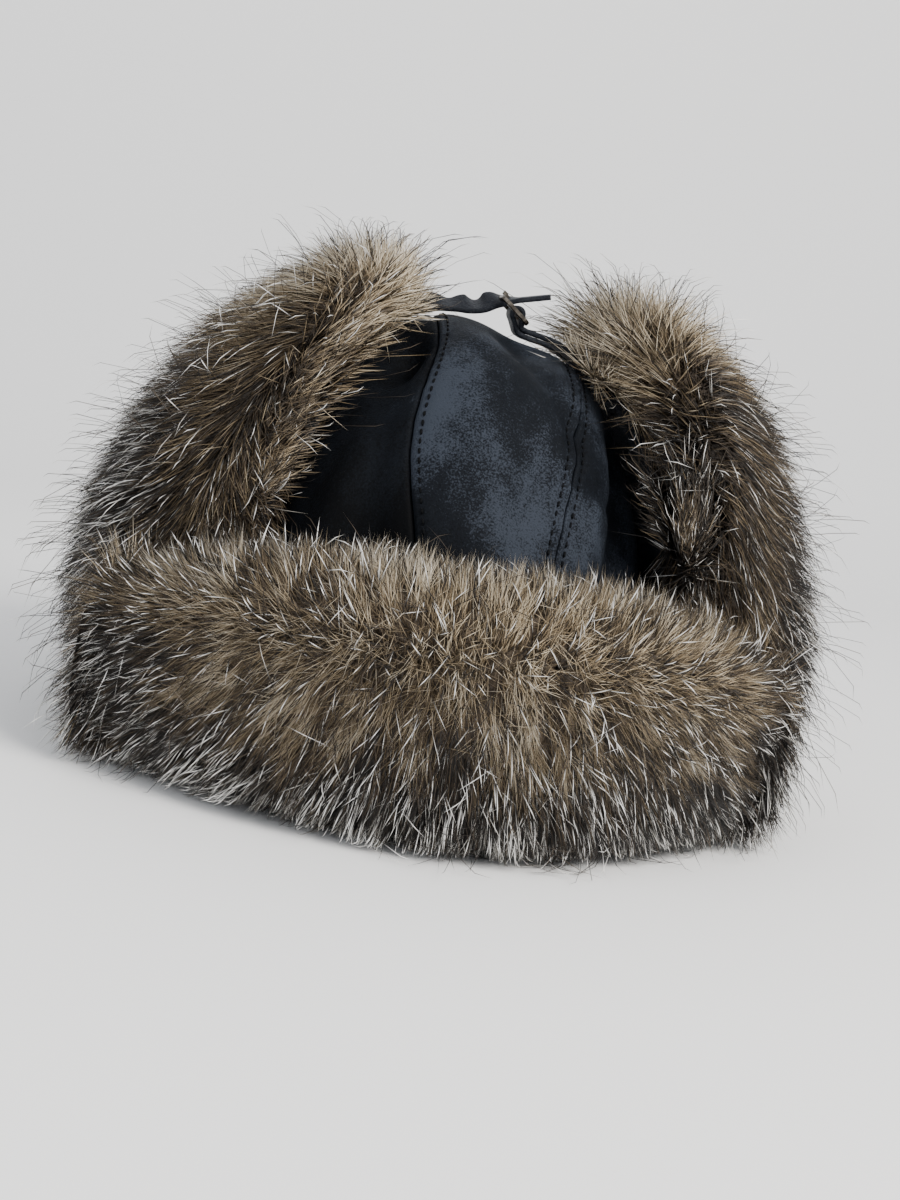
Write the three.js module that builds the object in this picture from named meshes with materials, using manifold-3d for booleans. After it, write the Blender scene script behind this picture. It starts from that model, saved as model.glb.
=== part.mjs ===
// A leather bomber hat trimmed with long raccoon fur, its ear flaps turned up and buckled over the crown.
// Millimetres, +Z up. The front of the hat looks along -Y, and the rim lies on the plane z = 0.
import * as THREE from "three";
import Module from "manifold-3d";
import { mergeVertices } from "three/addons/utils/BufferGeometryUtils.js";

// Crown
const crownHalfWidth = 88;
const crownHalfDepth = 106;
const crownHeight = 180;
const crownRoundness = 2.3; // exponent of its side view: 2 is an ellipse, and more is squarer
const crownWall = 2;
const seamGap = 0.45;

// Turned-up leather of the visor and of the ear and neck flap
const flapWall = 2.5;
const sewnGap = 0.5;
const visorHeight = 72;
const visorLean = 4;
const visorTurn = 60; // degrees from the front to each end of the visor
const neckHeight = 84;
const neckLean = 3;

// Fur
const visorFurDepth = 32;
const flapFurDepth = 50;
const furOverhang = 11; // past the leather's free edges
const furClearance = 0.4;
const furGroundClearance = 2.5;
const lockLift = 10; // of each lock's tip off the lock below it
const lockSpacing = 17;
const lockWidth = 16;

// Straps and buckle
const strapWidth = 11;
const strapThickness = 2.2;
const strapTail = 13; // free end past the buckle
const strapHoleRadius = 1.3;
const buckleWidth = 18;
const buckleWire = 1.8;
const buckleSlope = 37; // degrees that the frame falls to the right
const tailSlope = 25; // degrees that the long strap rises through the frame
const pinWidth = 1.6;
const runningGap = 0.35;

// The centre panel's two seams, seen from the front. height is a share of the crown's height, and left and
// right are x as shares of its half width.
const seams = [
  { height: -0.1, left: -0.19, right: 0.27 },
  { height: 0.45, left: -0.22, right: 0.32 },
  { height: 0.75, left: -0.31, right: 0.4 },
  { height: 1.0, left: -0.2, right: 0.46 },
  { height: 1.3, left: -0.1, right: 0.5 },
];

// Hollows pressed into the crown. Each runs from one point to another, given as shares of the crown's half
// width, half depth and height. Width and depth are shares of its half width.
const hollows = [
  { from: [-0.38, -0.88, 0.34], to: [-0.36, -0.3, 0.92], width: 0.13, depth: 0.14 }, // beside the left seam
  { from: [0.6, -0.78, 0.34], to: [0.7, -0.27, 0.76], width: 0.12, depth: 0.09 }, // in the right side panel
  { from: [0.19, -0.2, 0.98], to: [0.19, 0.24, 0.98], width: 0.2, depth: 0.06 }, // right of the top
  { from: [0.16, -0.24, 0.95], to: [0.2, -0.78, 0.64], width: 0.13, depth: 0.04 }, // down the centre panel
];

// The two ear flaps. front: degrees from the hat's front to the flap's front edge at the rim. tip: how far
// up the crown it reaches, as a share of the way to the top. fan: how much it widens on that way. stand: how
// far it stands off the crown, as a share of the crown's half width. tipFur: the fur's depth at the tip, as
// a share of flapFurDepth.
const earFlaps = {
  left: { sign: -1, front: 66, tip: 0.8, fan: 0.8, stand: 0.04, tipFur: 0.42 },
  right: { sign: 1, front: 68, tip: 0.675, fan: 0.45, stand: 0.14, tipFur: 0.75 },
};
const earTurn = 92; // degrees from the front to an ear flap's middle
const furSeamTurn = visorTurn + 3; // where the fur of the visor and of the ear flaps press together

const wasm = await Module();
wasm.setup();
const { Manifold, Mesh: ManifoldMesh } = wasm;
const { degToRad, lerp, smoothstep, clamp } = THREE.MathUtils;

// Solids

function solidOf(geometry) {
  const bare = new THREE.BufferGeometry().setAttribute("position", geometry.getAttribute("position"));
  if (geometry.index) bare.setIndex(geometry.index);
  const merged = mergeVertices(bare, 1e-3);
  const kept = [];
  for (let i = 0; i < merged.index.count; i += 3) {
    const [a, b, c] = [0, 1, 2].map((k) => merged.index.getX(i + k));
    if (a !== b && b !== c && c !== a) kept.push(a, b, c);
  }
  const vertProperties = merged.getAttribute("position").array;
  const build = (triVerts) => new Manifold(new ManifoldMesh({ numProp: 3, vertProperties, triVerts }));
  const made = build(new Uint32Array(kept));
  return made.volume() > 0 ? made : build(new Uint32Array(kept).reverse());
}

function geometryOf(solid) {
  const mesh = solid.getMesh();
  const geometry = new THREE.BufferGeometry();
  geometry.setAttribute("position", new THREE.BufferAttribute(mesh.vertProperties, 3));
  geometry.setIndex(new THREE.BufferAttribute(mesh.triVerts, 1));
  geometry.computeVertexNormals();
  return geometry;
}

// The largest body of a solid, with the pockets that its locks may have closed in filled.
const mainBody = (solid) => solid.decompose().reduce((a, b) => (a.volume() > b.volume() ? a : b));

// A closed wall between two sheets of points. at(row, column, side) gives the point on side 0 or 1, with row
// and column from 0 to 1. A ring's last column meets its first.
function wall(rows, columns, at, isRing = false) {
  const positions = [];
  const across = columns + 1;
  const index = (side, i, j) => (side * (rows + 1) + i) * across + (isRing && j === columns ? 0 : j);
  for (const side of [0, 1])
    for (let i = 0; i <= rows; i++)
      for (let j = 0; j < across; j++) positions.push(...at(i / rows, j / columns, side).toArray());
  const faces = [];
  const quad = (a, b, c, d) => faces.push(a, b, c, a, c, d);
  for (let i = 0; i < rows; i++)
    for (let j = 0; j < columns; j++) {
      quad(index(0, i, j), index(0, i + 1, j), index(0, i + 1, j + 1), index(0, i, j + 1));
      quad(index(1, i, j), index(1, i, j + 1), index(1, i + 1, j + 1), index(1, i + 1, j));
    }
  for (let j = 0; j < columns; j++) {
    quad(index(0, 0, j), index(0, 0, j + 1), index(1, 0, j + 1), index(1, 0, j));
    quad(index(0, rows, j), index(1, rows, j), index(1, rows, j + 1), index(0, rows, j + 1));
  }
  for (let i = 0; i < rows && !isRing; i++) {
    quad(index(0, i, 0), index(1, i, 0), index(1, i + 1, 0), index(0, i + 1, 0));
    quad(index(0, i, columns), index(0, i + 1, columns), index(1, i + 1, columns), index(1, i, columns));
  }
  const geometry = new THREE.BufferGeometry();
  geometry.setAttribute("position", new THREE.Float32BufferAttribute(positions, 3));
  geometry.setIndex(faces);
  return solidOf(geometry);
}

// A shape drawn in x and z, extruded by width along Y about y = 0.
function alongY(shape, width, curveSegments = 8) {
  const geometry = new THREE.ExtrudeGeometry(shape, { depth: width, bevelEnabled: false, curveSegments });
  return solidOf(geometry.rotateX(Math.PI / 2).translate(0, width / 2, 0));
}

// Crown

// A point on the crown's outside, moved out by offset. turn is in degrees from the front, and rise goes from
// 0 at the rim to 1 at the top.
function onCrown(turn, rise, offset = 0) {
  const power = 2 / crownRoundness;
  const lift = (clamp(rise, 0, 1) * Math.PI) / 2;
  const spread = Math.abs(Math.cos(lift)) ** power;
  const around = degToRad(turn);
  return new THREE.Vector3(
    (crownHalfWidth + offset) * spread * Math.sin(around),
    -(crownHalfDepth + offset) * spread * Math.cos(around),
    (crownHeight + offset) * Math.sin(lift) ** power,
  );
}

// The rise at which the crown is that many millimetres high.
const riseAt = (height) =>
  (Math.asin(clamp(height / crownHeight, 0, 1) ** (crownRoundness / 2)) * 2) / Math.PI;

const crownSize = new THREE.Vector3(crownHalfWidth, crownHalfDepth, crownHeight);

// How deep the hollows press the crown in at a point.
function hollowDepth(point) {
  const nearest = new THREE.Vector3();
  let depth = 0;
  for (const hollow of hollows) {
    const from = new THREE.Vector3(...hollow.from).multiply(crownSize);
    const to = new THREE.Vector3(...hollow.to).multiply(crownSize);
    new THREE.Line3(from, to).closestPointToPoint(point, true, nearest);
    const away = nearest.distanceTo(point) / (hollow.width * crownHalfWidth);
    depth += hollow.depth * crownHalfWidth * Math.exp(-away * away);
  }
  return depth;
}

function onPressedCrown(turn, rise, inset = 0) {
  const point = onCrown(turn, rise);
  const inward = point.clone().divide(crownSize).divide(crownSize).normalize().negate();
  const depth = hollowDepth(point) + inset;
  if (rise === 0) inward.setZ(0).normalize();
  return point.addScaledVector(inward, depth);
}

// The x of a seam of the centre panel at a height.
function seamCurve(side) {
  const knots = seams.map((row) => new THREE.Vector2(row[side] * crownHalfWidth, row.height * crownHeight));
  return new THREE.SplineCurve(knots).getPoints(12);
}

// The part of the crown between two lines drawn in x and z.
function betweenLines(left, right) {
  const outline = [...left, ...right.slice().reverse()];
  return alongY(new THREE.Shape(outline), crownHalfDepth * 3);
}

const shifted = (line, by) => line.map((p) => new THREE.Vector2(p.x + by, p.y));
// Closer together in front, where the hollows are.
const turnOf = (way) => 360 * way - 30 * Math.sin(2 * Math.PI * way);
const crownShell = wall(11, 38, (i, j, side) => onPressedCrown(turnOf(j), i, side * crownWall), true);
const leftSeam = seamCurve("left");
const rightSeam = seamCurve("right");
const crownPanels = {
  crown_centre: betweenLines(shifted(leftSeam, seamGap / 2), shifted(rightSeam, -seamGap / 2)),
  crown_left: betweenLines(shifted(leftSeam, -2 * crownHalfWidth), shifted(leftSeam, -seamGap / 2)),
  crown_right: betweenLines(shifted(rightSeam, seamGap / 2), shifted(rightSeam, 2 * crownHalfWidth)),
};

// The crown's height over the point x, 0.
function crownTopAt(x) {
  const share = clamp(Math.abs(x) / crownHalfWidth, 0, 1);
  const spread = share ** (crownRoundness / 2);
  return onPressedCrown(x < 0 ? -90 : 90, (Math.acos(spread) * 2) / Math.PI).z;
}

// Visor

const visorEnd = 0.78; // height of the visor's ends, as a share of its middle
const visorTopAt = (across) => visorHeight * lerp(1, visorEnd, Math.abs(across) ** 3);

// A point of the visor: across from -1 to 1, up from 0 at the rim to 1 at its top edge.
function onVisor(across, up, offset) {
  const height = up * visorTopAt(across);
  const lean = visorLean * clamp(height / visorHeight, 0, 1);
  return onCrown(across * visorTurn, riseAt(height), sewnGap + lean + offset);
}

// Ear and neck flap

const neckRise = riseAt(neckHeight);
const isEar = (turn) => 1 - smoothstep(turn, 108, 160);

function earOf(across) {
  const ear = across < 0 ? earFlaps.left : earFlaps.right;
  return { ...ear, turn: 180 - Math.abs(across) * (180 - ear.front) };
}

// How far up the crown the flap's top edge is: an ear at each side and the lower neck behind.
function flapTopAt(across) {
  const { tip, turn, front } = earOf(across);
  const bump = smoothstep(turn, front - 10, front + 13) * (1 - smoothstep(turn, 102, 150));
  return lerp(neckRise, tip, bump);
}

// A point of the flap: across from -1 at the left front edge, round the back, to 1 at the right one.
function onFlap(across, up, offset) {
  const { sign, tip, fan, stand, turn } = earOf(across);
  const rise = up * flapTopAt(across);
  const ear = isEar(turn);
  const fanned = earTurn + (turn - earTurn) * (1 + fan * rise * ear);
  const bulge = Math.sin(Math.PI * clamp(rise / tip, 0, 1)) ** 0.7;
  const away = lerp(neckLean * up, stand * crownHalfWidth * bulge, ear);
  return onCrown(sign * lerp(turn, fanned, ear), rise, sewnGap + away + offset);
}

const visorLeather = wall(4, 24, (i, j, side) => onVisor(2 * j - 1, i, side * flapWall));
const flapLeather = wall(7, 40, (i, j, side) => onFlap(2 * j - 1, i, side * flapWall));

// Fur

// Full in the middle of the way from 0 to 1, and rounded off towards both ends.
const rounded = (way) => Math.sqrt(Math.max(0, 1 - Math.abs(2 * clamp(way, 0, 1) - 1) ** 5));

// The lines that rows of locks run between, from the fur's bottom at 0 to its top at 1. Locks under the
// parting are combed down and those above it up. comb is the way in which a line of tips points, and 0 on a
// line of roots.
function lockLines(lockRows, parting) {
  const lines = [{ at: 0, row: 0, comb: 0, lift: 0 }];
  for (let row = 0; row < lockRows; row++) {
    const [low, high] = [row, row + 1].map((count) => lerp(0.05, 0.97, count / lockRows));
    const down = high < parting;
    lines.push({ at: low, row, comb: down ? -1 : 0, lift: down ? 1 : 0 });
    lines.push({ at: high, row, comb: down ? 0 : 1, lift: down ? 0 : 1 });
  }
  return [...lines, { at: 1, row: 0, comb: 0, lift: 0 }];
}

// Fur on a leather sheet: a rounded body whose outside is worked into rows of pointed locks, like thatch.
// at(across, up, offset) gives a point of the sheet. depthAt(across, way) is the body's thickness there, with
// way from 0 at the fur's bottom to 1 at its top. ends and topAt(across) say how far it reaches past the
// sheet, and crowding moves the locks towards its two ends.
function fur({ at, depthAt, ends, topAt, startUp, lockRows, locksAcross, parting, crowding }) {
  const lines = lockLines(lockRows, parting);
  const columns = 2 * locksAcross;
  const place = (i, j, side) => {
    const line = lines[Math.round(i * (lines.length - 1))];
    const column = Math.round(j * columns);
    const isRidge = (column + line.row) % 2 === 0;
    const vary = 1 + 0.3 * Math.sin(2.9 * column + 4.7 * line.row) + 0.15 * Math.sin(1.3 * column);
    const point = (isRidge ? 0.55 : -0.3) * line.comb * vary;
    const way = clamp(line.at + (point * 0.9) / lockRows, 0, 1);
    const across = ends * lerp(2 * j - 1, Math.sin((j - 0.5) * Math.PI), crowding);
    const depth = depthAt(across, way);
    const lift = lockLift * line.lift * vary * (isRidge ? 1 : 0.2) * Math.min(1, rounded(way) * 1.2);
    const deep = side * (depth * rounded(way) + lift * Math.min(1, depth / visorFurDepth));
    const up = lerp(startUp, topAt(across), side ? way : line.at);
    return at(across, up, flapWall + furClearance + 0.8 + deep);
  };
  return wall(lines.length - 1, columns, place).trimByPlane([0, 0, 1], furGroundClearance);
}

// The wedge of space between the two lines at that many degrees left and right of the front.
function frontWedge(turn) {
  const at = degToRad(turn);
  const reach = 4 * crownHalfDepth;
  const start = onCrown(turn, 0);
  const apex = start.y + (start.x * Math.cos(at)) / Math.sin(at);
  const outline = [
    [0, apex],
    [reach * Math.sin(at), apex - reach * Math.cos(at)],
    [reach * Math.sin(at), -2 * reach],
    [-reach * Math.sin(at), -2 * reach],
    [-reach * Math.sin(at), apex - reach * Math.cos(at)],
  ].map(([x, y]) => new THREE.Vector2(x, y));
  const tall = 4 * crownHeight;
  const geometry = new THREE.ExtrudeGeometry(new THREE.Shape(outline), { depth: tall, bevelEnabled: false });
  return solidOf(geometry.translate(0, 0, -tall / 2));
}

const aroundLength = Math.PI * (crownHalfWidth + crownHalfDepth);
const visorLength = (aroundLength * visorTurn) / 180;
const flapLength = aroundLength - visorLength;

const visorFur = fur({
  at: onVisor,
  depthAt: (across) => lerp(visorFurDepth, flapFurDepth * 1.05, Math.abs(across) ** 3),
  ends: (furSeamTurn + 6) / visorTurn,
  topAt: () => 1 + furOverhang / visorHeight,
  startUp: furGroundClearance / visorHeight,
  lockRows: Math.round((visorHeight * 1.4) / lockSpacing),
  locksAcross: Math.round((visorLength * 1.3) / lockWidth),
  parting: 0.7,
  crowding: 0,
}).intersect(frontWedge(furSeamTurn - 0.3));

// Thickest low down at the sides, thinner at the ear flaps' tips and behind, and rounded off at their front
// edges.
function flapFurDepthAt(across, way) {
  const { turn, tipFur } = earOf(across);
  const edge = Math.sqrt(Math.max(0, 1 - Math.abs(across / 1.06) ** 9));
  const free = smoothstep(way, 0.15, 0.45); // low down, the edges are pressed against the visor's fur
  return flapFurDepth * lerp(1, edge, free) * lerp(0.72, lerp(1.25, tipFur, way ** 0.75), isEar(turn));
}

const flapFur = fur({
  at: onFlap,
  depthAt: flapFurDepthAt,
  ends: 1.05,
  topAt: (across) => 1 + (furOverhang * neckRise) / (neckHeight * flapTopAt(across)),
  startUp: furGroundClearance / neckHeight,
  lockRows: Math.round((neckHeight * 1.6) / lockSpacing),
  locksAcross: Math.round((flapLength * 1.3) / lockWidth),
  parting: 0.85,
  crowding: 0.65,
}).subtract(frontWedge(furSeamTurn + 0.3));

// What the fur leaves clear of a leather sheet.
function roomRound(at, rows, columns) {
  const wider = (way, count) => clamp((way * (count + 2) - 1) / count, -0.02, 1.02);
  const offset = (side) => (side ? flapWall + furClearance : -1);
  const place = (i, j, side) => at(2 * wider(j, columns) - 1, wider(i, rows), offset(side));
  return wall(rows + 2, columns + 2, place);
}

// Straps and buckle

// An outline that follows a line of points at half a thickness on both sides.
function ribbon(points, thickness) {
  const sides = [[], []];
  points.forEach((point, i) => {
    const before = points[Math.max(i - 1, 0)];
    const after = points[Math.min(i + 1, points.length - 1)];
    const across = after.clone().sub(before).normalize().rotateAround(new THREE.Vector2(), Math.PI / 2);
    sides[0].push(point.clone().addScaledVector(across, thickness / 2));
    sides[1].unshift(point.clone().addScaledVector(across, -thickness / 2));
  });
  return new THREE.Shape([...sides[0], ...sides[1]]);
}

const smoothLine = (knots, count = 20) => new THREE.SplineCurve(knots).getPoints(count);

// The middle of an ear flap's tip, in x and z, and the way in which the leather runs on there.
function tipOf(ear) {
  const across = ear.sign * (1 - (earTurn - ear.front) / (180 - ear.front));
  const flat = (up) => {
    const point = onFlap(across, up, flapWall / 2);
    return new THREE.Vector2(point.x, point.z);
  };
  const end = flat(1);
  return { end, way: end.clone().sub(flat(0.97)).normalize() };
}

// The line moved up where it would press into the crown, for a strap of that thickness.
function clearOfCrown(line, thickness) {
  const lowest = (x) => crownTopAt(x) + runningGap + thickness * 0.7;
  return line.map((point) => new THREE.Vector2(point.x, Math.max(point.y, lowest(point.x))));
}

// The long strap passes under the buckle's front bar and over the loop that the short strap makes round the
// middle bar. The distance between the two bars follows from that.
const barRadius = buckleWire / 2;
const eyeRadius = barRadius + runningGap;
const loopRadius = eyeRadius + strapThickness;
const underBar = eyeRadius + strapThickness / 2 + 0.2;
const overLoop = loopRadius + runningGap + strapThickness / 2;
const frontBar = (underBar + overLoop) / Math.sin(degToRad(buckleSlope + tailSlope));
const backBar = -0.55 * frontBar;
const buckleLength = frontBar - backBar + buckleWire;

// A place in the buckle, in x and z: so far from its middle bar to its front bar, and so far above the frame.
const buckleTilt = degToRad(buckleSlope);
const toFront = new THREE.Vector2(-Math.cos(buckleTilt), Math.sin(buckleTilt));
const toAbove = new THREE.Vector2(Math.sin(buckleTilt), Math.cos(buckleTilt));
const middleBarX = 0.16 * crownHalfWidth;
const middleBarZ = crownTopAt(middleBarX) + 2.6 * strapThickness + loopRadius + runningGap;
const inBuckle = (along, above) =>
  new THREE.Vector2(middleBarX, middleBarZ).addScaledVector(toFront, along).addScaledVector(toAbove, above);

const leftTip = tipOf(earFlaps.left);
const rightTip = tipOf(earFlaps.right);

const tailWay = new THREE.Vector2(1, 0).rotateAround(new THREE.Vector2(), degToRad(tailSlope));
const tailUp = new THREE.Vector2(-tailWay.y, tailWay.x);
const atFrontBar = inBuckle(frontBar, 0).addScaledVector(tailUp, -underBar);
const atLoop = inBuckle(0, 0).addScaledVector(tailUp, overLoop);
const tailStart = atLoop.clone().addScaledVector(tailWay, strapThickness);
const freeTail = new THREE.Vector2(strapTail, 0).rotateAround(new THREE.Vector2(), degToRad(tailSlope * 0.6));
const tailEnd = tailStart.clone().add(freeTail);
const beforeBar = atFrontBar.clone().addScaledVector(tailWay, -strapThickness);
const peakX = -0.06 * crownHalfWidth;
const peakZ = crownTopAt(peakX) + strapThickness;
const overCrown = smoothLine([
  leftTip.end.clone().addScaledVector(leftTip.way, 2 * sewnGap),
  leftTip.end.clone().addScaledVector(leftTip.way, strapWidth * 0.55),
  new THREE.Vector2(peakX, peakZ),
  new THREE.Vector2(lerp(peakX, beforeBar.x, 0.6), lerp(peakZ, beforeBar.y, 0.4)),
  beforeBar,
], 16);
const longLine = [
  ...clearOfCrown(overCrown, strapThickness),
  atFrontBar,
  atLoop,
  ...smoothLine([tailStart, tailEnd], 3),
];

// The short strap is folded double round the middle bar. It passes under the back bar and then lies along the
// crown, down to the right ear flap's tip.
const doubled = 2 * strapThickness;
const shortEnd = rightTip.end.clone().addScaledVector(rightTip.way, 2 * sewnGap);
const underBack = inBuckle(backBar + 0.4, -(eyeRadius + doubled / 2 + 0.5));
const downTo = (share, drop) =>
  new THREE.Vector2(lerp(underBack.x, shortEnd.x, share), lerp(underBack.y, shortEnd.y, drop));
const downKnots = [underBack, downTo(0.12, 0.12), downTo(0.45, 0.4), downTo(0.78, 0.72), shortEnd];
const downCrown = smoothLine(downKnots, 14);
const shortLine = [inBuckle(-1.2, -(eyeRadius + strapThickness * 0.5)), ...clearOfCrown(downCrown, doubled)];

const circle = (radius) => new THREE.Shape().absarc(middleBarX, middleBarZ, radius, 0, 2 * Math.PI);

// The pin is hinged on the middle bar, goes up through the long strap and rests on the front bar.
const pinEyeRadius = eyeRadius + pinWidth * 0.7;
const pinLine = smoothLine([
  inBuckle(eyeRadius + pinWidth * 0.3, 0.3),
  inBuckle(frontBar * 0.55, 1.2),
  inBuckle(frontBar, eyeRadius + pinWidth / 2 + 0.15),
  inBuckle(frontBar + 1.2, eyeRadius + pinWidth / 2 + 0.1),
], 6);
const pinShape = (extra) =>
  alongY(ribbon(pinLine, pinWidth + 2 * extra), pinWidth + 2 * extra)
    .add(alongY(circle(pinEyeRadius + extra), pinWidth + 2 * extra));
const barBore = alongY(circle(eyeRadius), 2 * strapWidth);
const bucklePin = pinShape(0).subtract(barBore);
const pinRoom = pinShape(runningGap);

const shortStrap = alongY(ribbon(shortLine, doubled), strapWidth)
  .add(alongY(circle(loopRadius), strapWidth))
  .subtract(barBore)
  .subtract(pinRoom);

// A punched hole, square to the strap.
function strapHole(index) {
  const [place, next] = [longLine[index], longLine[index + 1]];
  const slope = Math.atan2(next.y - place.y, next.x - place.x);
  const geometry = new THREE.CylinderGeometry(strapHoleRadius, strapHoleRadius, 4 * strapThickness, 10);
  return solidOf(geometry.rotateX(Math.PI / 2).rotateY(-slope).translate(place.x, 0, place.y));
}
const longStrap = alongY(ribbon(longLine, strapThickness), strapWidth)
  .subtract(pinRoom)
  .subtract(strapHole(5))
  .subtract(strapHole(longLine.length - 3));

// A frame with rounded corners and a middle bar, drawn flat and then tilted to the buckle's place.
function roundedRectangle(target, length, width, corner) {
  const [x, y] = [length / 2 - corner, width / 2 - corner];
  target.absarc(x, y, corner, 0, Math.PI / 2);
  target.absarc(-x, y, corner, Math.PI / 2, Math.PI);
  target.absarc(-x, -y, corner, Math.PI, Math.PI * 1.5);
  target.absarc(x, -y, corner, Math.PI * 1.5, Math.PI * 2);
  return target;
}
const frameOutline = roundedRectangle(new THREE.Shape(), buckleLength, buckleWidth, 3);
frameOutline.holes.push(
  roundedRectangle(new THREE.Path(), buckleLength - 2 * buckleWire, buckleWidth - 2 * buckleWire, 1.6),
);
const frameGeometry = new THREE.ExtrudeGeometry(frameOutline, {
  depth: buckleWire * 0.6,
  bevelThickness: buckleWire * 0.2,
  bevelSize: buckleWire * 0.2,
  bevelOffset: -buckleWire * 0.2,
  bevelSegments: 1,
  curveSegments: 3,
}).translate(-(frontBar + backBar) / 2, 0, -buckleWire * 0.3);
const barGeometry = new THREE.CylinderGeometry(barRadius, barRadius, buckleWidth - buckleWire, 12);
const buckleFrame = solidOf(frameGeometry).add(solidOf(barGeometry));
const bucklePlace = new THREE.Matrix4()
  .makeTranslation(middleBarX, 0, middleBarZ)
  .multiply(new THREE.Matrix4().makeRotationY(buckleTilt));

// What the fur leaves clear round the straps and the buckle.
const furtherOn = (from, to) => to.clone().add(to.clone().sub(from).setLength(2));
const roomAlong = (line, thickness, width) => alongY(ribbon(line, thickness + 2), width + 2);
const strapRoom = roomAlong([furtherOn(longLine[1], longLine[0]), ...longLine], strapThickness, strapWidth)
  .add(roomAlong([...shortLine, furtherOn(shortLine.at(-2), shortLine.at(-1))], doubled, strapWidth))
  .add(roomAlong([inBuckle(-buckleLength, 0), inBuckle(buckleLength, 0)], buckleWidth * 0.6, buckleWidth));

// Materials

const leather = (color, roughness) => new THREE.MeshStandardMaterial({ color, roughness });
const crownLeather = leather(0x1d232d, 0.62);
const darkLeather = leather(0x14171c, 0.7);
const strapLeather = leather(0x15171a, 0.6);
const furBrown = leather(0x6f5b46, 0.95);
const brass = new THREE.MeshStandardMaterial({ color: 0x6d675c, roughness: 0.35, metalness: 1 });

const hat = new THREE.Group();
function addPiece(name, solid, material, place) {
  const mesh = new THREE.Mesh(geometryOf(solid), material);
  mesh.name = name;
  if (place) mesh.applyMatrix4(place);
  hat.add(mesh);
}

for (const [name, region] of Object.entries(crownPanels))
  addPiece(name, mainBody(crownShell.intersect(region)), crownLeather);
addPiece("visor_leather", visorLeather, darkLeather);
addPiece("ear_neck_flap", flapLeather, darkLeather);
addPiece("visor_fur", mainBody(visorFur.subtract(roomRound(onVisor, 4, 24))), furBrown);
addPiece("ear_neck_fur", mainBody(flapFur.subtract(roomRound(onFlap, 7, 40)).subtract(strapRoom)), furBrown);
addPiece("long_strap", longStrap, strapLeather);
addPiece("short_strap", shortStrap, strapLeather);
addPiece("buckle_frame", buckleFrame, brass, bucklePlace);
addPiece("buckle_pin", bucklePin, brass);

// The origin is at the middle of the hat's base.
const middle = new THREE.Box3().setFromObject(hat, true).getCenter(new THREE.Vector3());
hat.position.set(-middle.x, -middle.y, 0);

export default hat;
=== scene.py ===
# %% [markdown]
# # A leather bomber hat with raccoon fur
# The hat has a dark leather crown, a fur visor turned up in front, and fur ear flaps turned up at the sides.
# A narrow strap and a small buckle hold the flaps together over the top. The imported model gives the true
# sizes. Here each soft piece gets a finer surface in the same place, and the fur gets its hairs.

# %% Setup
import bpy
import numpy as np
from mathutils import Matrix, Vector


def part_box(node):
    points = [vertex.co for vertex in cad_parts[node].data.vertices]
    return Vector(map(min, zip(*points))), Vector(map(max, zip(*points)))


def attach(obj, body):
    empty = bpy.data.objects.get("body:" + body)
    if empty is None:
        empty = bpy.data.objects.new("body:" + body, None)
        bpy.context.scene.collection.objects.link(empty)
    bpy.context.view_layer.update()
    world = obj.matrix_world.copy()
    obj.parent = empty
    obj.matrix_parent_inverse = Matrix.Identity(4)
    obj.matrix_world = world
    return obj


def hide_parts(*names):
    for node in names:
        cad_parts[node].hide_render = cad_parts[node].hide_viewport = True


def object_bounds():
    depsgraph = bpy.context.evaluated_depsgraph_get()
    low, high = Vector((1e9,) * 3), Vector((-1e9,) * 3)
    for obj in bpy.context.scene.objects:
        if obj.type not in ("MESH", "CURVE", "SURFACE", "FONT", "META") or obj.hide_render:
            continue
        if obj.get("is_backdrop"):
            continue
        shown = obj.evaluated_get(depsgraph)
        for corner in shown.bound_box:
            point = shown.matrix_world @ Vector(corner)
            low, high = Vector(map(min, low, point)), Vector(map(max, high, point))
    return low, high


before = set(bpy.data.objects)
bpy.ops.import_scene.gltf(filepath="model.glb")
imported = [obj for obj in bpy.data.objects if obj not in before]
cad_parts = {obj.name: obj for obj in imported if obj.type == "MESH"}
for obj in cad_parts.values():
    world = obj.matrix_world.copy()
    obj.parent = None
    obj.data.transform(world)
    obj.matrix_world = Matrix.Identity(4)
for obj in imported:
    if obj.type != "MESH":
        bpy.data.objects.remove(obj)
packed_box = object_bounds()
rng = np.random.default_rng(7)
# The crown, in millimetres: half its width and depth at the rim, its height, and how full its curves are.
half_width, half_depth, height, roundness = 88.0, 106.0, 180.0, 2.3

middle_x = sum(corner.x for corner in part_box("visor_leather")) / 2
middle_y = sum(corner.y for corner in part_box("long_strap")) / 2
hat_middle = np.array([middle_x, middle_y, 0.0])
print("middle of the crown, in metres:", hat_middle.round(4))

# %% [markdown]
# ## Small helpers
# The sizes below are in millimetres round the middle of the crown. `metres` moves them to the frame's place.
# Every surface is a grid of points that a formula gives, so a finer grid needs no other change.

# %% Helpers
def metres(points):
    """Millimetres round the crown's middle to metres in the frame: divided by 1000, plus the middle."""
    return np.asarray(points) / 1000 + hat_middle


def mix(a, b, share):
    """The value that lies that share of the way from a to b."""
    return a + (b - a) * share


def smooth(x, low, high):
    """0 below low, 1 above high, and 3t^2 - 2t^3 between them, where t is the share of the way."""
    t = np.clip((x - low) / (high - low), 0, 1)
    return t * t * (3 - 2 * t)


def unit(vectors):
    """Vectors divided by their lengths."""
    return vectors / np.maximum(np.linalg.norm(vectors, axis=-1, keepdims=True), 1e-9)


def way_along(line):
    """How far along a line each of its points is: the sum of the steps before it."""
    return np.concatenate([[0], np.cumsum(np.linalg.norm(np.diff(line, axis=0), axis=-1))])


# %% [markdown]
# ## From numbers to pieces
# Leather is a sheet with a thickness, so most pieces here are closed walls: an outer grid, an inner grid and
# the four edges between them. Solidify would do it too, but two grids let a wall be thick in one place and
# thin in another. The arrays go into the mesh whole, which is quick enough for a million triangles of fur.

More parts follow.
